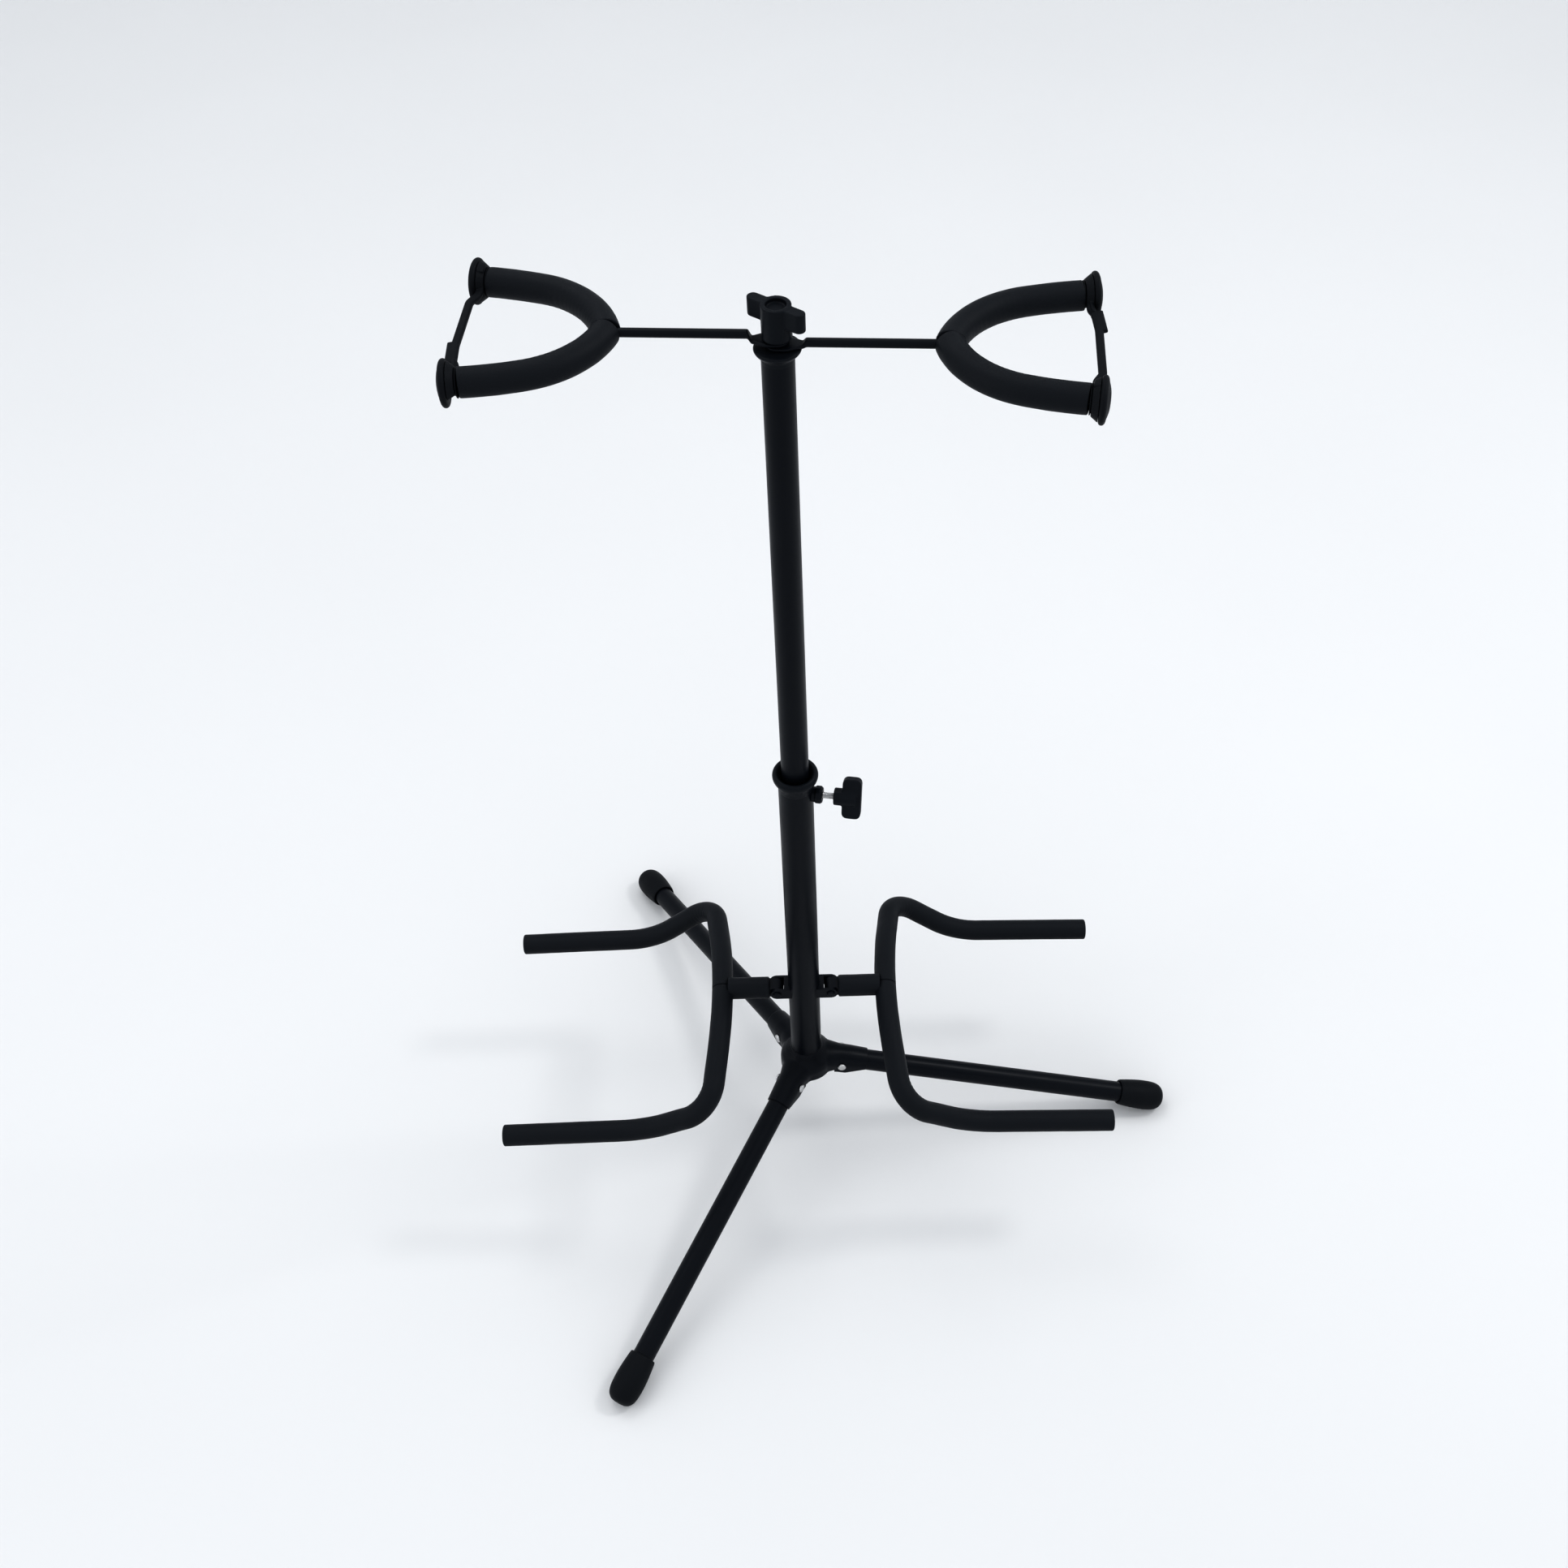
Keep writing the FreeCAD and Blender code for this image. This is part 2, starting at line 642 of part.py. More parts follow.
def cradle_pin():
    pin = headed_pin(PIN_R, TONGUE_HALF + GAP + EAR_THICK, PIN_HEAD_R, PIN_HEAD)
    pin.translate(Vector(HINGE_X, 0, HINGE_Z))
    return pin


def crown_arc():
    """The large arc over the crown, from the middle to where the straight run starts."""
    crown = Vector(*CRADLE_CROWN)
    corner = Vector(*CRADLE_CORNER)
    radius = CRADLE_RADII[0]
    ahead = (corner - crown).normalize()
    back = Vector(ahead.x, -ahead.y, ahead.z)
    half_turn = (math.pi - back.getAngle(ahead)) / 2
    inward = (back + ahead).normalize()
    top = crown + inward * (radius / math.cos(half_turn) - radius)
    end = crown + ahead * (radius * math.tan(half_turn))
    centre = crown + inward * (radius / math.cos(half_turn))
    between = centre + ((top + end) * 0.5 - centre).normalize() * radius
    return top, between, end


def cradle_half(radius, past_end):
    """A round bar along half of the cradle, from the crown's middle to the arm's end."""
    top, between, straight = crown_arc()
    over = Part.Arc(top, between, straight).toShape()
    end = Vector(*CRADLE_END) + Vector(past_end, 0, 0)
    rest = rounded_path((straight, CRADLE_CORNER, CRADLE_DIP, end), CRADLE_RADII[1:])
    return bent_rod(Part.Wire([over] + rest.Edges), radius)


def cradle_frame():
    """Tongue, stub and bent rod of one cradle, welded together."""
    top = crown_arc()[0]
    half = cradle_half(CRADLE_ROD_R, 0.0)
    stub = rod(STUB_R, (HINGE_X + 6, 0, HINGE_Z), (top.x, 0, HINGE_Z))
    nose = rod(TONGUE_R, (HINGE_X, -TONGUE_HALF, HINGE_Z), (HINGE_X, TONGUE_HALF, HINGE_Z))
    neck_corner = Vector(HINGE_X, -TONGUE_HALF, HINGE_Z - TONGUE_R)
    neck = Part.makeBox(STUB_FOAM_START - HINGE_X, 2 * TONGUE_HALF, 2 * TONGUE_R, neck_corner)
    frame = half.fuse([mirrored_y(half), stub, nose, neck]).removeSplitter()
    return frame.cut(hinge_bore())


def cradle_foam():
    """The back foam sleeve of one cradle, closed at the arm's end."""
    top = crown_arc()[0]
    bore = cradle_half(CRADLE_ROD_R + SEATED, 0.0)
    seam = Part.makeBox(60, 20, 60, Vector(top.x - 30, SEAM_HALF - 20, top.z - 30))
    stub = rod(STUB_R + SEATED, (HINGE_X, 0, HINGE_Z), (top.x, 0, HINGE_Z))
    return cradle_half(CRADLE_FOAM_R, FOAM_PAST_ROD).cut(bore).cut([seam, stub])


def cradle_stub_foam():
    """Short foam sleeve between the hinge and the crown."""
    start = (STUB_FOAM_START, 0, HINGE_Z)
    end = (crown_arc()[0].x, 0, HINGE_Z)
    sleeve = pipe_wall(STUB_FOAM_R, STUB_R + SEATED, start, end)
    around = cradle_half(CRADLE_FOAM_R + SEATED, 0.0)
    return sleeve.cut([around, mirrored_y(around)])


# ---- build and write ----
pieces = []
os.makedirs("parts", exist_ok=True)

save("hub_spider", hub_spider())
rivet = headed_pin(RIVET_R, CHANNEL_R, RIVET_HEAD_R, RIVET_HEAD)
save("leg_rivets", Part.makeCompound([place_on_leg(rivet, angle) for angle in LEG_ANGLES.values()]))
for place, angle in LEG_ANGLES.items():
    save("leg_tube_" + place, place_on_leg(leg_tube(), angle))
    save("leg_foot_" + place, leg_foot(angle))

save("lower_post", lower_post())
save("post_weld", post_weld())
save("post_collar", post_collar())
save("guide_bush", guide_bush())
save("clamp_boss", clamp_boss())
save("clamp_pad", clamp_pad())
save("clamp_screw", clamp_screw())
save("clamp_knob", clamp_knob())

save("upper_tube", upper_tube())
save("tube_glide", tube_glide())
save("top_cap", top_cap())
save("cap_insert", cap_insert())
save("top_stud", top_stud())
save("top_washer", top_washer())
save("top_knob", top_knob())

for side in ("left", "right"):
    back_foam = at_rod_height(yoke_foam(), side)
    back_cap = at_rod_height(yoke_end_cap(), side)
    band = at_rod_height(strap(), side)
    if side == "left":
        near, far = "front", "back"
    else:
        near, far = "back", "front"
    save("yoke_arm_" + side, place_yoke(yoke_arm(side), side))
    save("yoke_foam_" + side + "_" + near, place_yoke(back_foam, side))
    save("yoke_foam_" + side + "_" + far, place_yoke(mirrored_y(back_foam), side))
    save("yoke_cap_" + side + "_" + near, place_yoke(back_cap, side))
    save("yoke_cap_" + side + "_" + far, place_yoke(mirrored_y(back_cap), side))
    save("yoke_strap_" + side, place_yoke(mirrored_y(band), side))

save("cradle_pins", Part.makeCompound([cradle_pin(), mirrored_x(cradle_pin())]))
for side in ("left", "right"):
    flip = mirrored_x if side == "left" else Part.Shape.copy
    save("cradle_bracket_" + side, flip(cradle_bracket()))
    save("cradle_frame_" + side, flip(cradle_frame()))
    save("cradle_stub_foam_" + side, flip(cradle_stub_foam()))
    save("cradle_foam_" + side + "_back", flip(cradle_foam()))
    save("cradle_foam_" + side + "_front", flip(mirrored_y(cradle_foam())))

whole = Part.makeCompound(pieces).BoundBox
print(len(pieces), "pieces, all valid:", all(piece.isValid() for piece in pieces))
print("x", round(whole.XMin, 2), round(whole.XMax, 2), "y", round(whole.YMin, 2), round(whole.YMax, 2))
print("z", round(whole.ZMin, 2), round(whole.ZMax, 2))
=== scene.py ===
import json
import math

import bmesh
import bpy
from mathutils import Matrix, Quaternion, Vector, noise


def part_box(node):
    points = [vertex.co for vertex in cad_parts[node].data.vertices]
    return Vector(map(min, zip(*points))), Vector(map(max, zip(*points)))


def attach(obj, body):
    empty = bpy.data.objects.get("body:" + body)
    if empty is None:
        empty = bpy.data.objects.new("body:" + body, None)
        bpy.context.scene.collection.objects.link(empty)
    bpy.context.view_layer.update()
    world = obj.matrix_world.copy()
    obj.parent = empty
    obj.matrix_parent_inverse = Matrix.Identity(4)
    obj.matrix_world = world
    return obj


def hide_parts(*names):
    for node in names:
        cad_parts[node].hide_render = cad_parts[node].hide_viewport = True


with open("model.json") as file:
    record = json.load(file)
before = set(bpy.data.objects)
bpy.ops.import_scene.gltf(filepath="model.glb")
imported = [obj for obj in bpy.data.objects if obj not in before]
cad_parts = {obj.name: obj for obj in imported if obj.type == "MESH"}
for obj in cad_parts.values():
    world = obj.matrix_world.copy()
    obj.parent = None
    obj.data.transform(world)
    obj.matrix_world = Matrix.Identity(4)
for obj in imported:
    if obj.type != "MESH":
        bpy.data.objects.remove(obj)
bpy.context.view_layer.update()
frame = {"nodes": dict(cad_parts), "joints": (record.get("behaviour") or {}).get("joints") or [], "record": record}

# The looks of a two-instrument guitar rack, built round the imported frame. Metres, +Z up.

MM = 0.001
NODES = frame["nodes"]

# ---- the view ----
CAMERA_PLACE = (-0.0233, -1.12703, 1.7729)
CAMERA_DOWN = 47.406            # degrees below the horizon
CAMERA_HEADING = -1.506         # degrees from +Y towards +X
CAMERA_ROLL = 2.764             # degrees
CAMERA_LENS = 42.12             # mm on a 36 mm sensor


# ---- node helpers ----
def new_material(name):
    """An empty material with a Principled shader; returns (material, node tree, shader)."""
    material = bpy.data.materials.new(name)
    material.use_nodes = True
    tree = material.node_tree
    shader = tree.nodes["Principled BSDF"]
    return material, tree, shader


def add_node(tree, kind, inputs=None):
    """A node with its sockets filled: a value, or another node's socket."""
    node = tree.nodes.new(kind)
    for name, value in (inputs or {}).items():
        if isinstance(value, bpy.types.NodeSocket):
            tree.links.new(value, node.inputs[name])
        else:
            node.inputs[name].default_value = value
    return node


def place_in_space(tree):
    """The surface's own coordinates."""
    return add_node(tree, "ShaderNodeTexCoord").outputs["Object"]


def noise_value(tree, scale, detail, roughness):
    """A noise value from 0 to 1, with features about 1 / scale metres wide."""
    settings = {
        "Vector": place_in_space(tree),
        "Scale": scale,
        "Detail": detail,
        "Roughness": roughness,
    }
    return add_node(tree, "ShaderNodeTexNoise", settings).outputs["Fac"]


def spread(tree, value, low, high):
    """Maps the middle of a noise value's range, where nearly all of it lies, onto low..high."""
    settings = {"Value": value, "From Min": 0.3, "From Max": 0.7, "To Min": low, "To Max": high}
    return add_node(tree, "ShaderNodeMapRange", settings).outputs["Result"]


def mix_colours(tree, share, first, second):
    """A colour between two, by a 0 to 1 value."""
    ramp = add_node(tree, "ShaderNodeValToRGB", {"Fac": share})
    ramp.color_ramp.elements[0].color = (*first, 1.0)
    ramp.color_ramp.elements[1].color = (*second, 1.0)
    return ramp.outputs["Color"]


def add_bump(tree, shader, height, strength, depth):
    bump = add_node(tree, "ShaderNodeBump", {"Height": height, "Strength": strength, "Distance": depth})
    tree.links.new(bump.outputs["Normal"], shader.inputs["Normal"])


# ---- materials ----
def black_powder_coat():
    """Satin black powder coat on steel: a fine orange peel, faint dust and slight gloss changes."""
    material, tree, shader = new_material("black_powder_coat")
    broad = noise_value(tree, 18.0, 4.0, 0.6)
    fine = noise_value(tree, 900.0, 3.0, 0.55)
    colour = mix_colours(tree, broad, (0.0034, 0.0052, 0.0086), (0.0054, 0.0074, 0.0114))
    tree.links.new(colour, shader.inputs["Base Color"])
    tree.links.new(spread(tree, broad, 0.33, 0.43), shader.inputs["Roughness"])
    shader.inputs["Specular IOR Level"].default_value = 0.17
    add_bump(tree, shader, fine, 0.25, 0.00012)
    return material


def black_foam():
    """Matte closed-cell foam: small cells over soft dents, with a slight dusty bloom."""
    material, tree, shader = new_material("black_foam")
    broad = noise_value(tree, 25.0, 5.0, 0.6)
    cells = add_node(
        tree, "ShaderNodeTexVoronoi", {"Vector": place_in_space(tree), "Scale": 1500.0}
    ).outputs["Distance"]
    colour = mix_colours(tree, broad, (0.0080, 0.0100, 0.0136), (0.0114, 0.0138, 0.0176))
    tree.links.new(colour, shader.inputs["Base Color"])
    tree.links.new(spread(tree, broad, 0.46, 0.60), shader.inputs["Roughness"])
    shader.inputs["Specular IOR Level"].default_value = 0.17
    add_bump(tree, shader, cells, 0.5, 0.00025)
    return material


def black_plastic():
    """Moulded black plastic with a fine spark-eroded grain."""
    material, tree, shader = new_material("black_plastic")
    broad = noise_value(tree, 60.0, 3.0, 0.5)
    grain = noise_value(tree, 2600.0, 2.0, 0.5)
    colour = mix_colours(tree, broad, (0.0078, 0.0100, 0.0136), (0.0110, 0.0136, 0.0176))
    tree.links.new(colour, shader.inputs["Base Color"])
    tree.links.new(spread(tree, broad, 0.34, 0.46), shader.inputs["Roughness"])
    shader.inputs["Specular IOR Level"].default_value = 0.13
    add_bump(tree, shader, grain, 0.3, 0.0001)
    return material


def black_rubber():
    """Moulded rubber: a dull skin with a light bloom in patches."""
    material, tree, shader = new_material("black_rubber")
    broad = noise_value(tree, 70.0, 5.0, 0.65)
    fine = noise_value(tree, 1400.0, 3.0, 0.6)
    colour = mix_colours(tree, broad, (0.0072, 0.0086, 0.0112), (0.0112, 0.0130, 0.0158))
    tree.links.new(colour, shader.inputs["Base Color"])
    tree.links.new(spread(tree, broad, 0.46, 0.62), shader.inputs["Roughness"])
    shader.inputs["Specular IOR Level"].default_value = 0.13
    add_bump(tree, shader, fine, 0.3, 0.00015)
    return material


def zinc_plate():
    """Bright zinc plating with a faint yellow-blue passivation and turning marks."""
    material, tree, shader = new_material("zinc_plate")
    broad = noise_value(tree, 90.0, 4.0, 0.6)
    marks = noise_value(tree, 2500.0, 2.0, 0.5)
    colour = mix_colours(tree, broad, (0.52, 0.53, 0.56), (0.64, 0.63, 0.60))
    tree.links.new(colour, shader.inputs["Base Color"])
    tree.links.new(spread(tree, broad, 0.24, 0.38), shader.inputs["Roughness"])
    shader.inputs["Metallic"].default_value = 1.0
    add_bump(tree, shader, marks, 0.2, 0.00005)
    return material


def white_acetal():
    """Natural acetal, slightly milky."""
    material, tree, shader = new_material("white_acetal")
    broad = noise_value(tree, 80.0, 3.0, 0.5)
    colour = mix_colours(tree, broad, (0.70, 0.70, 0.66), (0.78, 0.78, 0.75))
    tree.links.new(colour, shader.inputs["Base Color"])
    tree.links.new(spread(tree, broad, 0.35, 0.48), shader.inputs["Roughness"])
    shader.inputs["Subsurface Weight"].default_value = 0.1
    add_bump(tree, shader, broad, 0.1, 0.0002)
    return material


def machined_brass():
    material, tree, shader = new_material("machined_brass")
    broad = noise_value(tree, 120.0, 3.0, 0.5)
    marks = noise_value(tree, 3000.0, 2.0, 0.5)
    colour = mix_colours(tree, broad, (0.66, 0.48, 0.22), (0.76, 0.58, 0.30))
    tree.links.new(colour, shader.inputs["Base Color"])
    tree.links.new(spread(tree, broad, 0.22, 0.36), shader.inputs["Roughness"])
    shader.inputs["Metallic"].default_value = 1.0
    add_bump(tree, shader, marks, 0.2, 0.00005)
    return material


MATERIALS = {
    "black_steel": black_powder_coat(),
    "black_foam": black_foam(),
    "black_plastic": black_plastic(),
    "black_rubber": black_rubber(),
    "zinc": zinc_plate(),
    "white_plastic": white_acetal(),
    "brass": machined_brass(),
}


def dress_cad_nodes():
    """Gives every carried-over CAD node the material of its slot in the record."""
    for part in frame["record"]["subparts"]:
        node = NODES[part["node"]]
        node.data.materials.clear()
        node.data.materials.append(MATERIALS[part["material_slot"]])


# ---- sizes, in millimetres from the post's axis unless they say otherwise ----
LINE_STEP = 1.6                 # between the points of a bent line
LEG_SLOPE = 15.25               # degrees below the horizontal
FOOT_START = 318.3              # leg pivot to the mouth of the foot
FOOT_LENGTH = 51.0
LEG_R = 11.1
HUB_TOP = 131.0
HUB_BOTTOM = 104.0
HUB_R = 28.0
HUB_SHEET = 1.2
CHANNEL_R = 13.8
CHANNEL_DROP = 10.0
CHANNEL_END = 26.5
CHANNEL_END_R = 12.7

CLAMP_TURN = -10.0              # degrees from +X about the post
CLAMP_WING_TILT = 20.0          # degrees about the screw
BOSS_FACES = 10
BOSS_BODY = (8.5, 18.6, 23.6)   # radius, start and end along the screw, as in the next five
BOSS_RIM = (7.4, 17.8, 25.0)
BOSS_NECK = (7.2, 14.6, 18.6)
PAD_BORE = (6.0, 12.0, 17.6)
SCREW_BORE = (3.35, 17.6, 27.0)
SCREW = (2.98, 14.4, 48.0)
THREAD_PITCH = 1.0
THREAD_DEPTH = 0.42
CLAMP_HUB = (8.1, 35.2, 56.0)   # radius, start and end, as in the next
CLAMP_HUB_BORE = (3.3, 34.0, 38.0)
CLAMP_WING = (40.0, 8.5, 42.9, 60.3, 5.0)       # span, thickness, inner and outer edge, corner radius

HEAD_HUB = (11.3, 1021.0, 1048.2)               # radius, bottom and top, as in the next two
HEAD_RECESS = (7.6, 1044.6, 1052.0)
STUD_HOLE = (4.2, 1018.0, 1030.0)
HEAD_WING = (50.0, 15.0, -4.75, 4.75, 4.7)      # span, height, back and front face, corner radius
HEAD_WING_Z = 1040.5
HEAD_WING_TURN = -37.0          # degrees

YOKE_TURN = -4.5                # degrees
EYE_R = 9.0
EYE_THICK = 3.2
EYE_BORE = 4.1
EYE_END = 21.5                  # from here outwards the flattened end is the plain rod
EYE_STEP = 3.5                  # length of the change between the two
EYE_TAPER = (6.0, 15.0)         # start and length of the narrowing to the rod's width
ROD_START = 22.6
YOKE_ROD_R = 3.5
FORK_X = 124.0
FORK_BENDS = ((75.6, 16.2, 77.2), (16.2, 5.3, 282.0))      # heading in, heading out, radius
FORK_TIP = (227.41, 64.69)
FORK_TIP_HEADING = 5.8
YOKE_FOAM_R = 11.1
YOKE_FOAM_ROUNDS = (1.0, 0.9)   # rounding of the sleeve's edge at its start and its end
NECK_LENGTH = 6.0
FOAM_GAP = 1.3                  # the inner plate of the end cap fits in it
STRAP_RING = (9.2, (11.6, 15.6), -5.8, -0.6)    # inner radius, outer radii at its two ends, those ends
STRAP_NUB = (9.2, (13.6, 15.8), -5.2, -0.8)
STRAP_RING_ARC = (0, 359)       # degrees, as in the next two
STRAP_NUB_ARC = (62, 104)
STRAP_HOOK_ARC = (-17, 197)
STRAP_BAND = (6.2, 4.2)         # width and thickness, as in the next two
STRAP_TAB = (9.4, 3.4)
STRAP_WEB = (3.2, 7.5)
STRAP_BEND_R = 8.0

HINGE_Z = 237.0
STUB_FOAM_START = 35.3
STUB_FOAM_R = 11.2
STUB_BORE_R = 6.0
STUB_FOAM_ROUNDS = (2.0, 0.5)
STUB_TUCK = 6.0                 # from the end of the stub's foam to the crown's middle line
CRADLE_ROD_R = 4.0
CRADLE_FOAM_R = 10.9
CRADLE_FOAM_ROUNDS = (1.3, 1.8)
CRADLE_LINE = ((96.0, 132.5, 213.0), (166.0, 122.5, 166.4), (310.0, 122.5, 162.4))
CRADLE_CROWN = (79.0, 0.0, 244.6)
CRADLE_RADII = (300.0, 34.0, 90.0)              # of the crown, the corners and the dips

SEAM_HALF = 0.15                # half the slit where two sleeves meet
LUMP_RATE = 0.035               # dents and rises of the foam's skin per mm
LUMP_HEIGHT = 0.16
FINE_LUMP_HEIGHT = 0.07
CREASE_DEPTH = 0.55
CREASE_STEP = 5.2
HOLE_LIP = 0.8                  # the bore is this much wider at its mouth
HOLE_DEPTHS = (5.0, 0.6)        # of the rings drawn inside the bore
CREASE_ANGLE = 42.0             # degrees; sharper edges than this are shaded as edges


# ---- frames ----
def post_axis():
    """The middle of the post on the floor, from the sliding tube's box."""
    low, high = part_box("upper_tube")
    return Vector(((low[0] + high[0]) / 2, (low[1] + high[1]) / 2, 0.0))


def turn(degrees, axis):
    return Matrix.Rotation(math.radians(degrees), 4, axis)


def shift(x, y, z):
    return Matrix.Translation((x, y, z))


RACK = Matrix.Translation(post_axis()) @ Matrix.Diagonal((MM, MM, MM, 1.0))
JOINTS = {joint["name"]: joint for joint in frame["joints"]}


def leg_frame(place):
    """Origin on the leg's pivot, +X along the leg."""
    pivot = RACK.inverted() @ Vector(JOINTS["leg_" + place + "_fold"]["pos_m"])
    way = math.degrees(math.atan2(pivot.y, pivot.x))
    return RACK @ turn(way, "Z") @ shift(math.hypot(pivot.x, pivot.y), 0, pivot.z) @ turn(LEG_SLOPE, "Y")


def yoke_frame(side):
    """+X out along the yoke's stem, which lies at z = 0."""
    low, high = (corner[2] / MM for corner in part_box("yoke_foam_" + side + "_back"))
    half_turn = 180 if side == "left" else 0
    return RACK @ turn(half_turn + YOKE_TURN, "Z") @ shift(0, 0, (low + high) / 2)


def clamp_frame():
    """+X out along the clamp's screw."""
    low, high = (corner[2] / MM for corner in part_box("clamp_screw"))
    return RACK @ turn(CLAMP_TURN, "Z") @ shift(0, 0, (low + high) / 2)


# ---- meshes ----
def new_piece(name, mesh, frame_matrix, body, slot, *nodes):
    """Puts a bmesh, drawn in millimetres, into the scene as a finished piece."""
    bmesh.ops.transform(mesh, matrix=frame_matrix, verts=mesh.verts)
    bmesh.ops.recalc_face_normals(mesh, faces=mesh.faces)
    data = bpy.data.meshes.new(name)
    mesh.to_mesh(data)
    mesh.free()
    for face in data.polygons:
        face.use_smooth = True
    data.set_sharp_from_angle(angle=math.radians(CREASE_ANGLE))
    data.materials.append(MATERIALS[slot])
    piece = bpy.data.objects.new(name, data)
    bpy.context.scene.collection.objects.link(piece)
    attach(piece, body)
    if nodes:
        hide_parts(*nodes)
    return piece


def add_rings(mesh, rings, close_start=False, close_end=False):
    """Skins a list of closed rings of points."""
    rows = [[mesh.verts.new(point) for point in ring] for ring in rings]
    for low, high in zip(rows, rows[1:]):
        for i in range(len(low)):
            j = (i + 1) % len(low)
            mesh.faces.new((low[i], low[j], high[j], high[i]))
    if close_start:
        mesh.faces.new(rows[0][::-1])
    if close_end:
        mesh.faces.new(rows[-1])


def softened(outline, rounds):
    """An outline with its corners cut back again and again, ends kept (Chaikin's way)."""
    points = [Vector(p) for p in outline]
    for _ in range(rounds):
        cut = [points[0]]
        for here, there in zip(points, points[1:]):
            cut += [here.lerp(there, 0.25), here.lerp(there, 0.75)]
        points = cut + [points[-1]]
    return points


def lathe(mesh, outline, sides=72, along="Z", wobble=None):
    """Revolves (radius, height) points about an axis; radius 0 closes an end."""
    rings = []
    for radius, height in outline:
        ring = []
        for i in range(sides):
            angle = 2 * math.pi * i / sides
            r = max(radius, 0.001) + (wobble(angle, height) if wobble else 0.0)
            ring.append((r * math.cos(angle), r * math.sin(angle), height))
        rings.append(ring)
    if along == "X":
        rings = [[(z, y, -x) for x, y, z in ring] for ring in rings]
    add_rings(mesh, rings)


def bend(start, heading, new_heading, radius, steps):
    """Points of an arc in the XY plane that turns right."""
    first = math.radians(heading)
    centre = start + Vector((math.sin(first), -math.cos(first), 0)) * radius
    points = []
    for step in range(steps + 1):
        way = math.radians(heading + (new_heading - heading) * step / steps)
        points.append(centre + Vector((-math.sin(way), math.cos(way), 0)) * radius)
    return points


def fork_line():
    """The middle line of a fork's arm on its +Y side, from the stem to just past the tip."""
    points = [Vector((FORK_X, 0, 0))]
    for heading, new_heading, radius in FORK_BENDS:
        steps = round(math.radians(heading - new_heading) * radius / LINE_STEP)
        points += bend(points[-1], heading, new_heading, radius, steps)[1:]
    return points


def rounded_line(corners, radii):
    """Points about LINE_STEP apart along a line whose corners are arcs of the given radii."""
    corners = [Vector(c) for c in corners]
    line = [corners[0]]

    def run_to(target):
        gap = target - line[-1]
        count = max(1, round(gap.length / LINE_STEP))
        start = line[-1].copy()
        line.extend(start + gap * (i / count) for i in range(1, count + 1))

    for before, corner, after, radius in zip(corners, corners[1:], corners[2:], radii):
        back, ahead = (before - corner).normalized(), (after - corner).normalized()
        half_turn = (math.pi - back.angle(ahead)) / 2
        inward = (back + ahead).normalized()
        centre = corner + inward * (radius / math.cos(half_turn))
        start = corner + back * (radius * math.tan(half_turn))
        run_to(start)
        spoke = start - centre
        axis = back.cross(ahead).normalized()
        count = max(2, round(2 * half_turn * radius / LINE_STEP))
        for i in range(1, count + 1):
            line.append(centre + Quaternion(axis, -2 * half_turn * i / count) @ spoke)
    run_to(corners[-1])
    return line


def ring_round(point, tangent, radius_at, sides):
    """A ring square to the tangent. radius_at(spoke) is its radius along a unit spoke."""
    up = (Vector((0, 0, 1)) - tangent * tangent.z).normalized()
    side = tangent.cross(up)
    ring = []
    for i in range(sides):
        angle = 2 * math.pi * i / sides
        spoke = side * math.cos(angle) + up * math.sin(angle)
        ring.append(point + spoke * radius_at(spoke))
    return ring


def tangents(line):
    ways = []
    for i in range(len(line)):
        before, after = line[max(i - 1, 0)], line[min(i + 1, len(line) - 1)]
        ways.append((after - before).normalized())
    return ways


def sweep(mesh, line, radius, sides=24):
    """A round bar along a line, closed at both ends."""
    rings = [ring_round(p, t, lambda spoke: radius, sides) for p, t in zip(line, tangents(line))]
    add_rings(mesh, rings, True, True)


def distances(line):
    total = [0.0]
    for here, there in zip(line, line[1:]):
        total.append(total[-1] + (there - here).length)
    return total


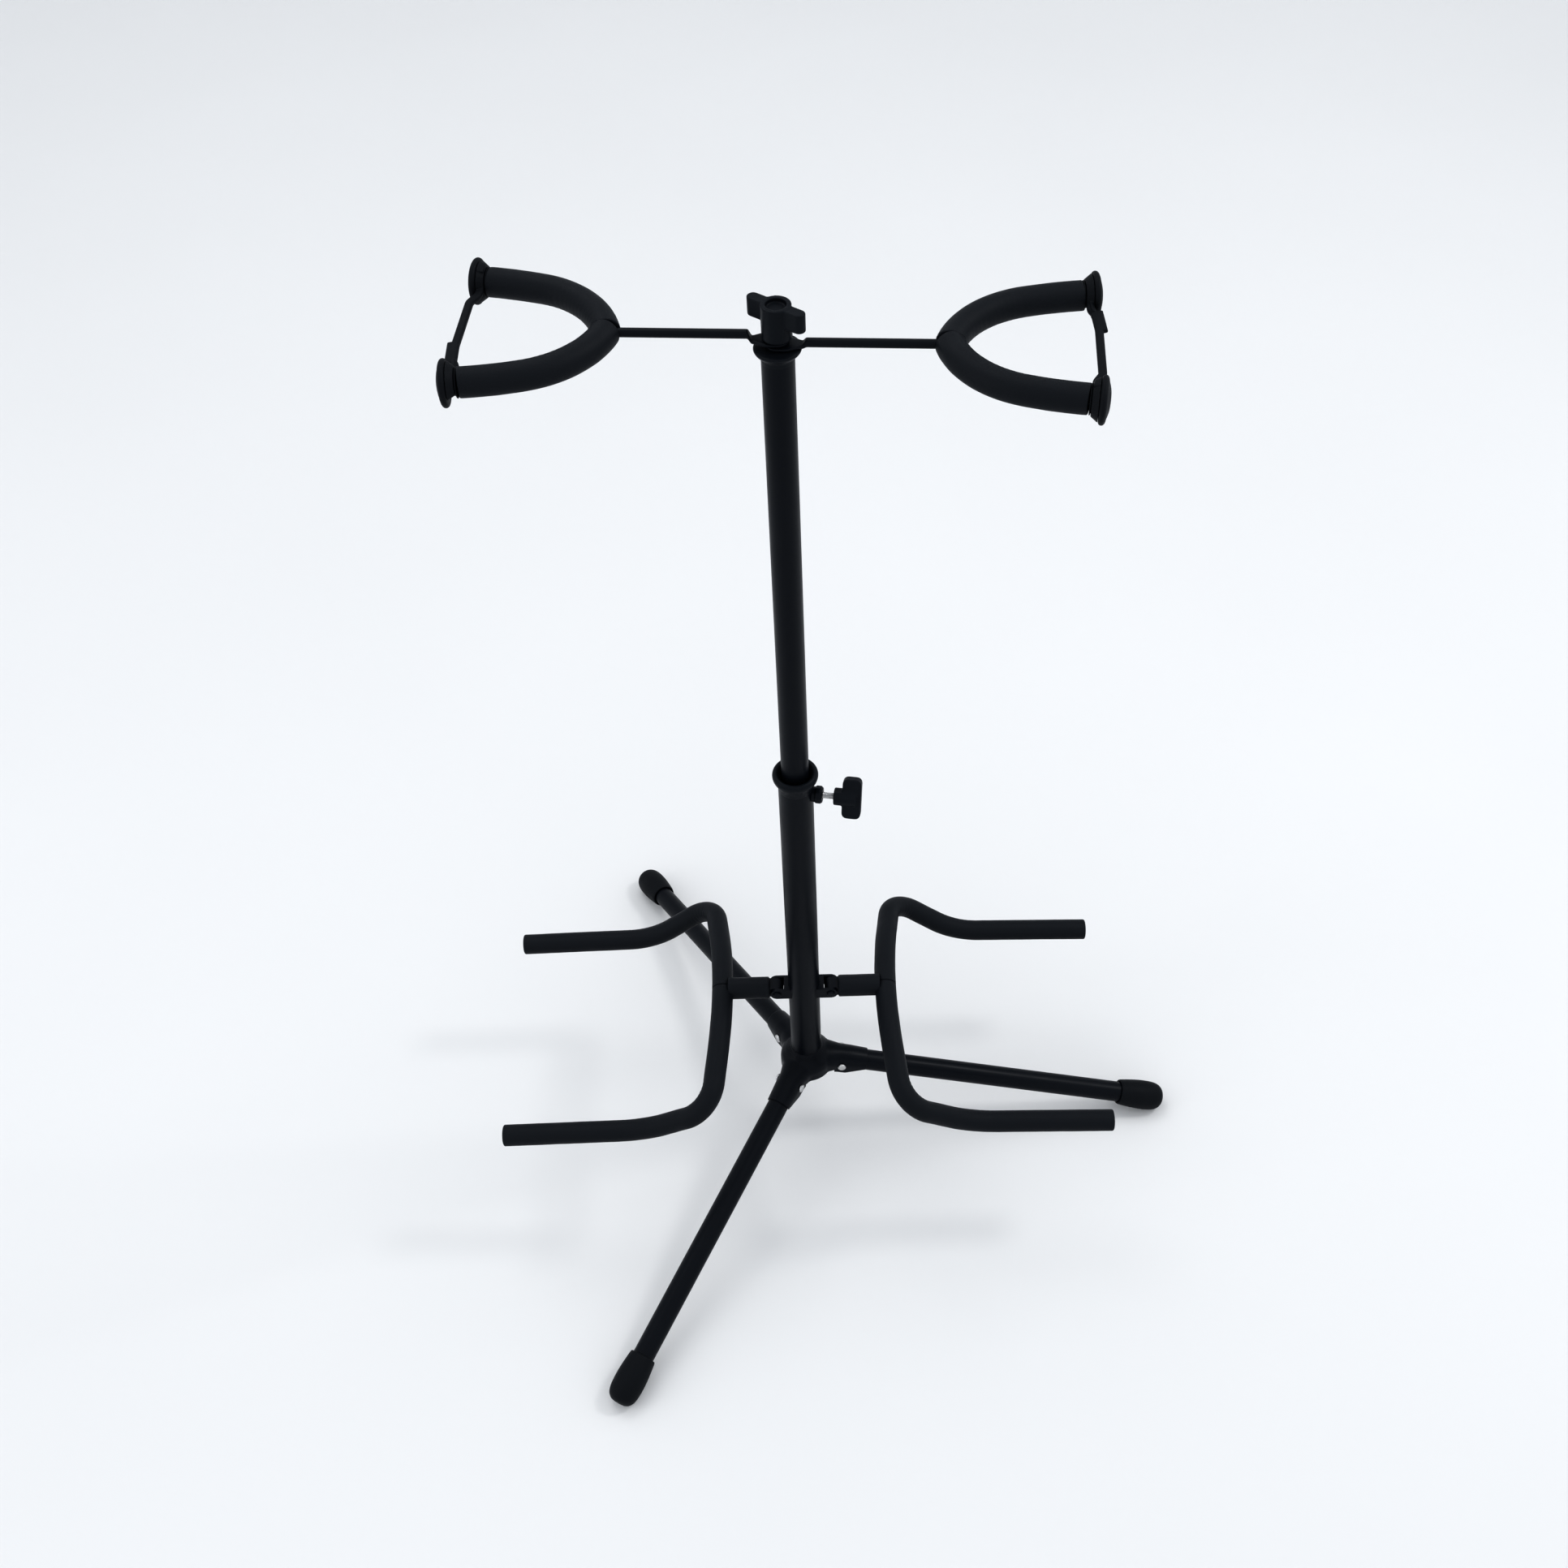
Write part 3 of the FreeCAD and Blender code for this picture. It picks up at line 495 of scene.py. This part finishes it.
def foam_sleeve(mesh, line, radius, bore, start_round, end_round, sealed_end, seed, sides=40):
    """A foam sleeve: soft cut ends, an uneven skin, and creases inside its tighter bends."""
    ways = tangents(line)
    run = distances(line)
    length = run[-1]
    fine_line, fine_ways, fine_run = [], [], []
    stops = sorted(
        set(run)
        | {start_round * (1 - math.cos(math.pi * k / 12)) for k in range(7)}
        | {length - end_round * (1 - math.cos(math.pi * k / 12)) for k in range(7)}
    )
    index = 0
    for stop in stops:
        while index < len(run) - 2 and run[index + 1] < stop:
            index += 1
        share = (stop - run[index]) / (run[index + 1] - run[index])
        fine_line.append(line[index].lerp(line[index + 1], share))
        fine_ways.append(ways[index].lerp(ways[index + 1], share).normalized())
        fine_run.append(stop)

    def rounding(s):
        loss = 0.0
        for left, size in ((s, start_round), (length - s, end_round)):
            if left < size:
                loss += size * (1 - math.sqrt(max(0.0, 1 - ((size - left) / size) ** 2)))
        return loss

    rings = []
    for i, (point, way, s) in enumerate(zip(fine_line, fine_ways, fine_run)):
        before, after = max(i - 3, 0), min(i + 3, len(fine_line) - 1)
        curve = (fine_ways[after] - fine_ways[before]) / max(fine_run[after] - fine_run[before], 0.1)

        def radius_at(spoke):
            place = (point + spoke * radius) * LUMP_RATE + Vector((seed * 7.3, 0, 0))
            lumps = LUMP_HEIGHT * noise.noise(place) + FINE_LUMP_HEIGHT * noise.noise(place * 3.1)
            inner = max(0.0, spoke.dot(curve) * radius)
            wave = 1 - math.cos(2 * math.pi * s / CREASE_STEP + noise.noise(place * 2) * 3)
            return radius - rounding(s) + lumps - CREASE_DEPTH * min(inner, 0.5) * wave

        rings.append(ring_round(point, way, radius_at, sides))

    def plain_ring(place, way, size):
        return ring_round(place, way, lambda spoke: size, sides)

    start, way = fine_line[0], fine_ways[0]
    hole = [plain_ring(start + way * depth, way, bore) for depth in HOLE_DEPTHS]
    rings = hole + [plain_ring(start, way, bore + HOLE_LIP)] + rings
    end, way = fine_line[-1], fine_ways[-1]
    if sealed_end:
        for share, dip in ((0.8, 0.0), (0.5, 0.15), (0.2, 0.25), (0.01, 0.3)):
            rings.append(plain_ring(end - way * dip, way, (radius - end_round) * share))
    else:
        rings.append(plain_ring(end, way, bore + HOLE_LIP))
        rings += [plain_ring(end - way * depth, way, bore) for depth in reversed(HOLE_DEPTHS)]
    add_rings(mesh, rings)


def melted(solids, voxel, smoothing, hollows=()):
    """One skin round several closed bmesh solids, less the hollows, with soft blends."""
    def as_object(meshes, label):
        data = bpy.data.meshes.new(label)
        whole = bmesh.new()
        for mesh in meshes:
            part = bpy.data.meshes.new("part")
            bmesh.ops.recalc_face_normals(mesh, faces=mesh.faces)
            mesh.to_mesh(part)
            whole.from_mesh(part)
            mesh.free()
            bpy.data.meshes.remove(part)
        whole.to_mesh(data)
        whole.free()
        thing = bpy.data.objects.new(label, data)
        bpy.context.scene.collection.objects.link(thing)
        return thing

    solid = as_object(solids, "solid")
    skin = solid.modifiers.new("skin", "REMESH")
    skin.mode = "VOXEL"
    skin.voxel_size = voxel
    spare = [solid]
    if hollows:
        hollow = as_object(hollows, "hollow")
        spare.append(hollow)
        cut = solid.modifiers.new("cut", "BOOLEAN")
        cut.operation = "DIFFERENCE"
        cut.object = hollow
        again = solid.modifiers.new("again", "REMESH")
        again.mode = "VOXEL"
        again.voxel_size = voxel
    soft = solid.modifiers.new("soft", "SMOOTH")
    soft.factor = 0.5
    soft.iterations = smoothing
    depsgraph = bpy.context.evaluated_depsgraph_get()
    data = bpy.data.meshes.new_from_object(solid.evaluated_get(depsgraph))
    mesh = bmesh.new()
    mesh.from_mesh(data)
    bpy.data.meshes.remove(data)
    for thing in spare:
        bpy.data.objects.remove(thing)
    return mesh


def turned(outline, sides, along="Z"):
    """A closed solid from an outline that starts and ends on the axis."""
    mesh = bmesh.new()
    lathe(mesh, outline, sides, along)
    bmesh.ops.remove_doubles(mesh, verts=mesh.verts, dist=0.01)
    return mesh


def drum(radius, low, high, sides=48, along="Z"):
    return turned(((0, low), (radius, low), (radius, high), (0, high)), sides, along)


def slab(span, thick, low, high, corner):
    """A closed flat bar along X, standing from low to high, with rounded corners in its face."""
    points = []
    half, middle, rise = span / 2, (low + high) / 2, (high - low) / 2
    for quarter in range(4):
        sx, sz = ((1, 1), (-1, 1), (-1, -1), (1, -1))[quarter]
        for step in range(7):
            angle = math.radians(90 * quarter + 15 * step)
            x = sx * (half - corner) + corner * math.cos(angle)
            z = middle + sz * (rise - corner) + corner * math.sin(angle)
            points.append((x, z))
    mesh = bmesh.new()
    add_rings(mesh, [[(x, y, z) for x, z in points] for y in (-thick / 2, thick / 2)], True, True)
    return mesh


def moved(mesh, matrix):
    bmesh.ops.transform(mesh, matrix=matrix, verts=mesh.verts)
    return mesh


# ---- base ----
def channel(reach_out, drop):
    """The closed outline of one hub arm in its leg's frame: round above, straight below,
    wide where it leaves the dome and drawn in round the leg at its end."""
    shape = (
        (-34.0, 20.0, CHANNEL_R),
        (-16.0, 17.2, CHANNEL_R),
        (-4.0, 14.0, CHANNEL_R),
        (8.0, 13.8, CHANNEL_R),
        (CHANNEL_END, CHANNEL_END_R, CHANNEL_END_R),
        (reach_out, CHANNEL_END_R, CHANNEL_END_R),
    )
    rings = []
    for x, half_width, rise in shape:
        angles = [math.radians(10 * step) for step in range(19)]
        ring = [(x, half_width * math.cos(a), rise * math.sin(a)) for a in angles]
        rings.append(ring + [(x, -half_width, -drop), (x, half_width, -drop)])
    mesh = bmesh.new()
    add_rings(mesh, rings, True, True)
    return mesh


def trim(mesh, to_local, test, place, normal):
    """Cuts the faces that pass the test off beyond a plane. Test and plane are in a local frame."""
    faces = [f for f in mesh.faces if test(to_local @ f.calc_center_median())]
    region = faces + list({e for f in faces for e in f.edges}) + list({v for f in faces for v in f.verts})
    to_rack = to_local.inverted()
    bmesh.ops.bisect_plane(
        mesh,
        geom=region,
        plane_co=to_rack @ Vector(place),
        plane_no=to_rack.to_3x3() @ Vector(normal),
        clear_outer=True,
    )


def make_hub():
    """One pressed sheet: the dome flows into the three arms."""
    spare = 5.0
    outline = (
        (0, HUB_BOTTOM - spare),
        (HUB_R, HUB_BOTTOM - spare),
        (HUB_R, HUB_TOP - 15),
        (HUB_R - 1.5, HUB_TOP - 10),
        (HUB_R - 6, HUB_TOP - 4.5),
        (17, HUB_TOP),
        (0, HUB_TOP),
    )
    dome = turned(outline, 72)
    frames = [RACK.inverted() @ leg_frame(place) for place in ("right", "back_left", "front_left")]
    arms = [moved(channel(CHANNEL_END + spare, CHANNEL_DROP + spare), matrix) for matrix in frames]
    skin = melted([dome, *arms], 1.0, 14)
    for matrix in frames:
        to_leg = matrix.inverted()
        trim(skin, to_leg, lambda p: p.x > 5, (CHANNEL_END, 0, 0), (1, 0, 0))
        near = CHANNEL_R + 3
        trim(skin, to_leg, lambda p: p.x > -12 and abs(p.y) < near, (0, 0, -CHANNEL_DROP), (0, 0, -1))
        trim(skin, to_leg, lambda p: p.x > 4 and abs(p.y) < near, (6, 0, -CHANNEL_DROP), (0.4, 0, -0.92))
    whole = Matrix.Identity(4)
    trim(skin, whole, lambda p: p.xy.length < HUB_R + 4, (0, 0, HUB_BOTTOM), (0, 0, -1))
    trim(skin, whole, lambda p: True, (0, 0, HUB_TOP), (0, 0, 1))
    hub = new_piece("hub_pressing", skin, RACK, "base", "black_steel", "hub_spider")
    sheet = hub.modifiers.new("sheet", "SOLIDIFY")
    sheet.thickness = HUB_SHEET * MM
    sheet.offset = -1.0


def make_post_weld():
    """A bead laid in short steps round the foot of the post."""
    mesh = bmesh.new()

    def ripple(angle, height):
        step = abs(math.sin(angle * 21 + 0.8 * math.sin(angle * 5)))
        return 0.12 * step + 0.15 * noise.noise(Vector((math.cos(angle) * 4, math.sin(angle) * 4, height)))

    corners = ((15.6, 130.4), (19.6, 130.6), (18.6, 131.7), (17.0, 133.2), (16.3, 134.8), (15.6, 135.2))
    outline = softened(corners, 2)
    lathe(mesh, outline, 288, wobble=ripple)
    new_piece("weld_bead", mesh, RACK, "base", "black_steel", "post_weld")


def make_feet():
    """Slip-on rubber feet with a rolled mouth, worn flat where they stand."""
    outline = (
        (LEG_R + 0.1, 6.0),
        (LEG_R + 0.15, 1.0),
        (12.2, 0.0),
        (13.3, 0.3),
        (13.8, 1.8),
        (14.9, 11.0),
        (15.8, 21.0),
        (16.0, 29.0),
        (15.6, 38.0),
        (14.3, 43.8),
        (12.0, 47.6),
        (8.5, 50.2),
        (4.0, FOOT_LENGTH),
        (0.0, FOOT_LENGTH),
    )
    for place in ("right", "back_left", "front_left"):
        mesh = bmesh.new()
        lathe(mesh, softened(outline, 2), along="X")
        moved(mesh, leg_frame(place) @ shift(FOOT_START, 0, 0))
        for vert in mesh.verts:
            vert.co.z = max(vert.co.z, 0.0)
        world = Matrix.Identity(4)      # the points are already in the world's metres
        new_piece("rubber_foot_" + place, mesh, world, "leg_" + place, "black_rubber", "leg_foot_" + place)


# ---- post and height clamp ----
def make_collar():
    """Bell mouth with a rolled lip and a deep gap round the sliding tube."""
    outline = (
        (13.1, 543.5),
        (13.1, 552.0),
        (13.5, 556.4),
        (14.6, 559.6),
        (16.2, 562.0),
        (18.2, 563.0),
        (20.2, 561.8),
        (21.1, 559.2),
        (20.6, 555.8),
        (18.9, 552.6),
        (17.2, 549.6),
        (16.5, 546.8),
        (16.1, 543.2),
        (15.9, 543.2),
    )
    mesh = bmesh.new()
    lathe(mesh, softened(outline, 3))
    new_piece("bell_collar", mesh, RACK, "base", "black_plastic", "post_collar")


def make_clamp():
    """Faceted boss, threaded screw and wing knob of the height clamp."""
    bore = turned(
        (
            (0, PAD_BORE[1]),
            (PAD_BORE[0], PAD_BORE[1]),
            (PAD_BORE[0], PAD_BORE[2]),
            (SCREW_BORE[0], SCREW_BORE[1]),
            (SCREW_BORE[0], SCREW_BORE[2]),
            (0, SCREW_BORE[2]),
        ),
        48,
        "X",
    )
    facets = [drum(*size, BOSS_FACES, "X") for size in (BOSS_BODY, BOSS_RIM)]
    boss = melted([*facets, drum(*BOSS_NECK, 48, "X")], 0.4, 10, [bore])
    new_piece("faceted_boss", boss, clamp_frame(), "base", "black_steel", "clamp_boss")

    thread = bmesh.new()
    crest, start, end = SCREW
    sides = 32
    steps_per_turn = 8
    rings = []
    for step in range(round((end - start) / THREAD_PITCH * steps_per_turn) + 1):
        x = start + step * THREAD_PITCH / steps_per_turn
        ring = []
        for i in range(sides):
            phase = (x / THREAD_PITCH - i / sides) % 1.0
            radius = crest - THREAD_DEPTH * (1 - abs(2 * phase - 1)) ** 1.5
            angle = 2 * math.pi * i / sides
            ring.append((x, radius * math.cos(angle), radius * math.sin(angle)))
        rings.append(ring)
    add_rings(thread, rings, True, True)
    new_piece("threaded_screw", thread, clamp_frame(), "clamp_grip", "zinc", "clamp_screw")

    wing = moved(slab(*CLAMP_WING), turn(-CLAMP_WING_TILT, "X") @ turn(90, "Y"))
    knob = melted([drum(*CLAMP_HUB, 48, "X"), wing], 0.45, 22, [drum(*CLAMP_HUB_BORE, 48, "X")])
    new_piece("clamp_wing_knob", knob, clamp_frame(), "clamp_grip", "black_plastic", "clamp_knob")


# ---- head ----
def make_head():
    """Bowl-shaped cap and the tall wing knob over the yokes."""
    outline = (
        (12.5, 1001.6),
        (12.62, 1002.6),
        (12.7, 1005.2),
        (13.8, 1007.0),
        (16.0, 1008.4),
        (17.5, 1010.4),
        (17.9, 1012.0),
        (17.3, 1013.0),
        (14.0, 1013.0),
        (4.4, 1013.0),
        (4.4, 1002.0),
    )
    mesh = bmesh.new()
    lathe(mesh, softened(outline, 2))
    new_piece("bowl_cap", mesh, RACK, "mast", "black_plastic", "top_cap")
    wing = moved(slab(*HEAD_WING), turn(HEAD_WING_TURN, "Z") @ shift(0, 0, HEAD_WING_Z) @ turn(90, "X"))
    knob = melted([drum(*HEAD_HUB, 64), wing], 0.45, 20, [drum(*HEAD_RECESS), drum(*STUD_HOLE)])
    new_piece("head_wing_knob", knob, RACK, "head_grip", "black_plastic", "top_knob")


# ---- yokes ----
def eased(share):
    """A share held between 0 and 1, with soft ends."""
    share = min(1.0, max(0.0, share))
    return share * share * (3 - 2 * share)


def make_yoke_arm(side):
    """A rod hammered flat round the stud, with the two bent arms of the fork at its far end."""
    matrix = yoke_frame(side)
    eye_z = (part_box("yoke_arm_" + side)[0][2] - matrix.translation.z) / MM + EYE_THICK / 2
    rings = []
    for step in range(65):
        x = -EYE_R + 0.05 + step * 0.5
        flat = eased((EYE_END - x) / EYE_STEP)
        narrow = eased((x - EYE_TAPER[0]) / EYE_TAPER[1])
        width = math.sqrt(max(EYE_R ** 2 - min(x, 0.0) ** 2, 0.1))
        width += (YOKE_ROD_R - width) * narrow
        thick = YOKE_ROD_R + (EYE_THICK / 2 - YOKE_ROD_R) * flat
        power = 2 / (2 + 3 * flat)          # the section goes from round to nearly rectangular
        ring = []
        half_sides = 20
        for i in range(2 * half_sides):
            c, s = math.cos(math.pi * i / half_sides), math.sin(math.pi * i / half_sides)
            across = math.copysign(abs(c) ** power, c) * width
            rise = math.copysign(abs(s) ** power, s) * thick
            ring.append((x, across, eye_z * flat + rise))
        rings.append(ring)
    plate = bmesh.new()
    add_rings(plate, rings, True, True)
    arm = melted([plate], 0.4, 3, [drum(EYE_BORE, -20, 20)])
    sweep(arm, [Vector((x, 0, 0)) for x in (ROD_START, 70, FORK_X + 1)], YOKE_ROD_R)
    line = fork_line()
    sweep(arm, line, YOKE_ROD_R)
    sweep(arm, [Vector((p.x, -p.y, p.z)) for p in line], YOKE_ROD_R)
    new_piece("yoke_rod_" + side, arm, matrix, "yoke_" + side, "black_steel", "yoke_arm_" + side)


def ends_of_yoke(side):
    """(world name, sign of the local y) of the two arms of a fork."""
    return (("front", 1), ("back", -1)) if side == "left" else (("back", 1), ("front", -1))


def make_yoke_foam(side, end, sign, seed):
    line = fork_line()
    way = turn(FORK_TIP_HEADING, "Z") @ Vector((1, 0, 0))
    end_point = Vector((*FORK_TIP, 0)) - way * (NECK_LENGTH + FOAM_GAP)
    line = [p for p in line if (p - end_point).dot(way) < -0.4] + [end_point]
    mesh = bmesh.new()
    foam_sleeve(mesh, line, YOKE_FOAM_R, YOKE_ROD_R, *YOKE_FOAM_ROUNDS, False, seed)
    for vert in mesh.verts:
        vert.co.y = max(vert.co.y, SEAM_HALF)
    matrix = yoke_frame(side) @ Matrix.Diagonal((1, sign, 1, 1))
    foam = new_piece(
        "foam_sleeve_yoke_" + side + "_" + end,
        mesh,
        matrix,
        "yoke_" + side,
        "black_foam",
        "yoke_foam_" + side + "_" + end,
    )


def fork_tip_frame(side, sign):
    matrix = yoke_frame(side) @ shift(FORK_TIP[0], sign * FORK_TIP[1], 0)
    return matrix @ turn(sign * FORK_TIP_HEADING, "Z")


def make_yoke_cap(side, end, sign):
    """Moulded end cap: a thin plate, a neck for the strap and a thick domed flange."""
    outline = (
        (3.6, -7.0),
        (10.7, -7.2),
        (11.0, -6.7),
        (10.6, -6.1),
        (9.2, -5.9),
        (9.0, -5.2),
        (9.0, -1.0),
        (9.6, -0.5),
        (13.6, -0.5),
        (16.0, -0.2),
        (17.3, 1.2),
        (17.2, 3.2),
        (15.6, 4.6),
        (12.6, 5.2),
        (10.4, 6.0),
        (6.0, 7.0),
        (0.0, 7.2),
    )
    mesh = bmesh.new()
    lathe(mesh, softened(outline, 2), along="X")
    new_piece(
        "end_cap_" + side + "_" + end,
        mesh,
        fork_tip_frame(side, sign),
        "yoke_" + side,
        "black_rubber",
        "yoke_cap_" + side + "_" + end,
    )


def c_band(inner, outer, low, high, start, end):
    """Part of a ring about X, from one angle to another (degrees from +Y).
    outer holds its radii at the low and the high end."""
    mesh = bmesh.new()
    rings = []
    for step in range(25):
        angle = math.radians(start + (end - start) * step / 24)
        c, s = math.cos(angle), math.sin(angle)
        section = ((low, inner), (low, outer[0]), (high, outer[1]), (high, inner))
        rings.append([(x, r * c, r * s) for x, r in section])
    add_rings(mesh, rings, True, True)
    return mesh


def flat_bar(line, width, thick):
    """A bar with a soft rectangular section along a line."""
    def radius_at(spoke):
        across = math.sqrt(max(0.0, 1 - spoke.z ** 2))
        return ((across / (width / 2)) ** 4 + (abs(spoke.z) / (thick / 2)) ** 4) ** -0.25

    mesh = bmesh.new()
    add_rings(mesh, [ring_round(p, t, radius_at, 24) for p, t in zip(line, tangents(line))], True, True)
    return mesh


def make_strap(side):
    """Rubber strap: a ring round one neck, and over the other an open hook with a finger tab."""
    tip_x, tip_y = FORK_TIP
    neck_x = tip_x - 1.7
    band_x = tip_x + 3.0
    root, past, inner = tip_y - 11.3, tip_y - 20.0, tip_y - 29.0
    corners = (
        (neck_x, -root, 0),
        (neck_x, -past, 0),
        (band_x, -inner, 0),
        (band_x, inner, 0),
        (neck_x, past, 0),
        (neck_x, root, 0),
    )
    band = flat_bar(rounded_line(corners, [STRAP_BEND_R] * 4), *STRAP_BAND)
    tab = flat_bar([Vector((band_x + 1.6 - 0.1 * i, 17 + i, 0.4)) for i in range(26)], *STRAP_TAB)
    web = flat_bar([Vector((neck_x - 0.2 + 0.12 * i, root - i, -0.3)) for i in range(15)], *STRAP_WEB)
    ring_at = shift(tip_x, -tip_y, 0) @ turn(-FORK_TIP_HEADING, "Z")
    hook_at = shift(tip_x, tip_y, 0) @ turn(FORK_TIP_HEADING, "Z")
    ring = moved(c_band(*STRAP_RING, *STRAP_RING_ARC), ring_at)
    nub = moved(c_band(*STRAP_NUB, *STRAP_NUB_ARC), ring_at)
    hook = moved(c_band(*STRAP_RING, *STRAP_HOOK_ARC), hook_at)
    strap = melted([band, tab, web, ring, nub, hook], 0.4, 8)
    new_piece(
        "rubber_strap_" + side,
        strap,
        yoke_frame(side),
        "strap_" + side,
        "black_rubber",
        "yoke_strap_" + side,
    )


# ---- cradles ----
def cradle_line():
    """The middle line of the back half of a cradle, from the middle of its crown."""
    mirrored = [(x, -y, z) for x, y, z in reversed(CRADLE_LINE)]
    crown_r, corner_r, dip_r = CRADLE_RADII
    radii = (dip_r, corner_r, crown_r, corner_r, dip_r)
    line = rounded_line((*mirrored, CRADLE_CROWN, *CRADLE_LINE), radii)
    middle = min(range(len(line)), key=lambda i: abs(line[i].y))
    top = line[middle]
    return [Vector((top.x, 0, top.z))] + [p for p in line[middle + 1:] if p.y > 0.8]


def make_cradle_foam(side, end, seed):
    line = cradle_line()
    line[0].y = SEAM_HALF
    mesh = bmesh.new()
    foam_sleeve(mesh, line, CRADLE_FOAM_R, CRADLE_ROD_R, *CRADLE_FOAM_ROUNDS, True, seed)
    flip = Matrix.Diagonal((1 if side == "right" else -1, 1 if end == "back" else -1, 1, 1))
    foam = new_piece(
        "foam_sleeve_cradle_" + side + "_" + end,
        mesh,
        RACK @ flip,
        "cradle_" + side,
        "black_foam",
        "cradle_foam_" + side + "_" + end,
    )


def make_stub_foam(side, seed):
    """The short sleeve between the hinge and the crown, which ends inside the crown's foam."""
    length = cradle_line()[0].x - STUB_TUCK - STUB_FOAM_START
    steps = 16
    line = [Vector((STUB_FOAM_START + i * length / steps, 0, HINGE_Z)) for i in range(steps + 1)]
    mesh = bmesh.new()
    foam_sleeve(mesh, line, STUB_FOAM_R, STUB_BORE_R, *STUB_FOAM_ROUNDS, False, seed)
    flip = Matrix.Diagonal((1 if side == "right" else -1, 1, 1, 1))
    foam = new_piece(
        "foam_sleeve_stub_" + side,
        mesh,
        RACK @ flip,
        "cradle_" + side,
        "black_foam",
        "cradle_stub_foam_" + side,
    )


def make_sides():
    for number, side in enumerate(("left", "right")):
        make_yoke_arm(side)
        make_strap(side)
        make_stub_foam(side, 11 + number)
        for end, sign in ends_of_yoke(side):
            make_yoke_foam(side, end, sign, 2 * number + sign)
            make_yoke_cap(side, end, sign)
            make_cradle_foam(side, end, 5 + 2 * number + sign)


# ---- the room ----
def add_floor():
    """A plain pale floor that rises into a wall far behind the rack."""
    width, front, back, corner, wall = 9.0, -4.5, 3.2, 1.2, 5.0
    profile = [(front, 0.0), (back, 0.0)]
    for step in range(1, 13):
        angle = math.radians(90 * step / 12)
        profile.append((back + corner * math.sin(angle), corner * (1 - math.cos(angle))))
    profile.append((back + corner, wall))
    mesh = bmesh.new()
    rows = []
    for y, z in profile:
        rows.append([mesh.verts.new((x, y, z)) for x in (-width / 2, width / 2)])
    for low, high in zip(rows, rows[1:]):
        mesh.faces.new((low[0], low[1], high[1], high[0]))
    data = bpy.data.meshes.new("studio_floor")
    mesh.to_mesh(data)
    mesh.free()
    floor = bpy.data.objects.new("studio_floor", data)
    bpy.context.scene.collection.objects.link(floor)
    for face in data.polygons:
        face.use_smooth = True
    material, tree, shader = new_material("pale_floor")
    broad = noise_value(tree, 1.5, 2.0, 0.5)
    colour = mix_colours(tree, broad, (0.73, 0.73, 0.73), (0.76, 0.76, 0.76))
    tree.links.new(colour, shader.inputs["Base Color"])
    shader.inputs["Roughness"].default_value = 0.8
    shader.inputs["Specular IOR Level"].default_value = 0.2
    data.materials.append(material)


def add_lamp(name, place, aim, size, power):
    """A soft white rectangular lamp at place, pointed at aim."""
    data = bpy.data.lights.new(name, "AREA")
    data.shape = "RECTANGLE"
    data.size, data.size_y = size
    data.energy = power
    lamp = bpy.data.objects.new(name, data)
    lamp.location = place
    lamp.rotation_euler = (Vector(aim) - Vector(place)).to_track_quat("-Z", "Y").to_euler()
    bpy.context.scene.collection.objects.link(lamp)


def add_lights():
    world = bpy.data.worlds.new("studio")
    world.use_nodes = True
    world.node_tree.nodes["Background"].inputs["Color"].default_value = (0.93, 0.96, 1.0, 1.0)
    world.node_tree.nodes["Background"].inputs["Strength"].default_value = 0.755
    bpy.context.scene.world = world
    middle = (0.0, 0.0, 0.5)
    add_lamp("ceiling", (-0.9, 1.2, 3.4), (0.0, 0.6, 0.5), (1.6, 1.6), 12)
    add_lamp("left_window", (-2.6, -0.9, 1.5), middle, (0.8, 2.4), 6)
    add_lamp("right_window", (2.1, 0.4, 3.0), (0.15, 0.0, 0.1), (0.6, 0.6), 16)


def add_camera():
    down, heading = math.radians(CAMERA_DOWN), math.radians(CAMERA_HEADING)
    aim = Vector(
        (math.sin(heading) * math.cos(down), math.cos(heading) * math.cos(down), -math.sin(down))
    )
    data = bpy.data.cameras.new("camera")
    data.lens = CAMERA_LENS
    data.sensor_width = 36.0
    camera = bpy.data.objects.new("camera", data)
    camera.location = CAMERA_PLACE
    camera.rotation_mode = "QUATERNION"
    roll = Quaternion((0.0, 0.0, 1.0), -math.radians(CAMERA_ROLL))
    camera.rotation_quaternion = aim.to_track_quat("-Z", "Y") @ roll
    bpy.context.scene.collection.objects.link(camera)
    bpy.context.scene.camera = camera


# ---- put it together ----
dress_cad_nodes()
make_hub()
make_post_weld()
make_feet()
make_collar()
make_clamp()
make_head()
make_sides()
add_floor()
add_lights()
add_camera()
bpy.context.scene.view_settings.view_transform = "Standard"
bpy.context.scene.view_settings.look = "High Contrast"
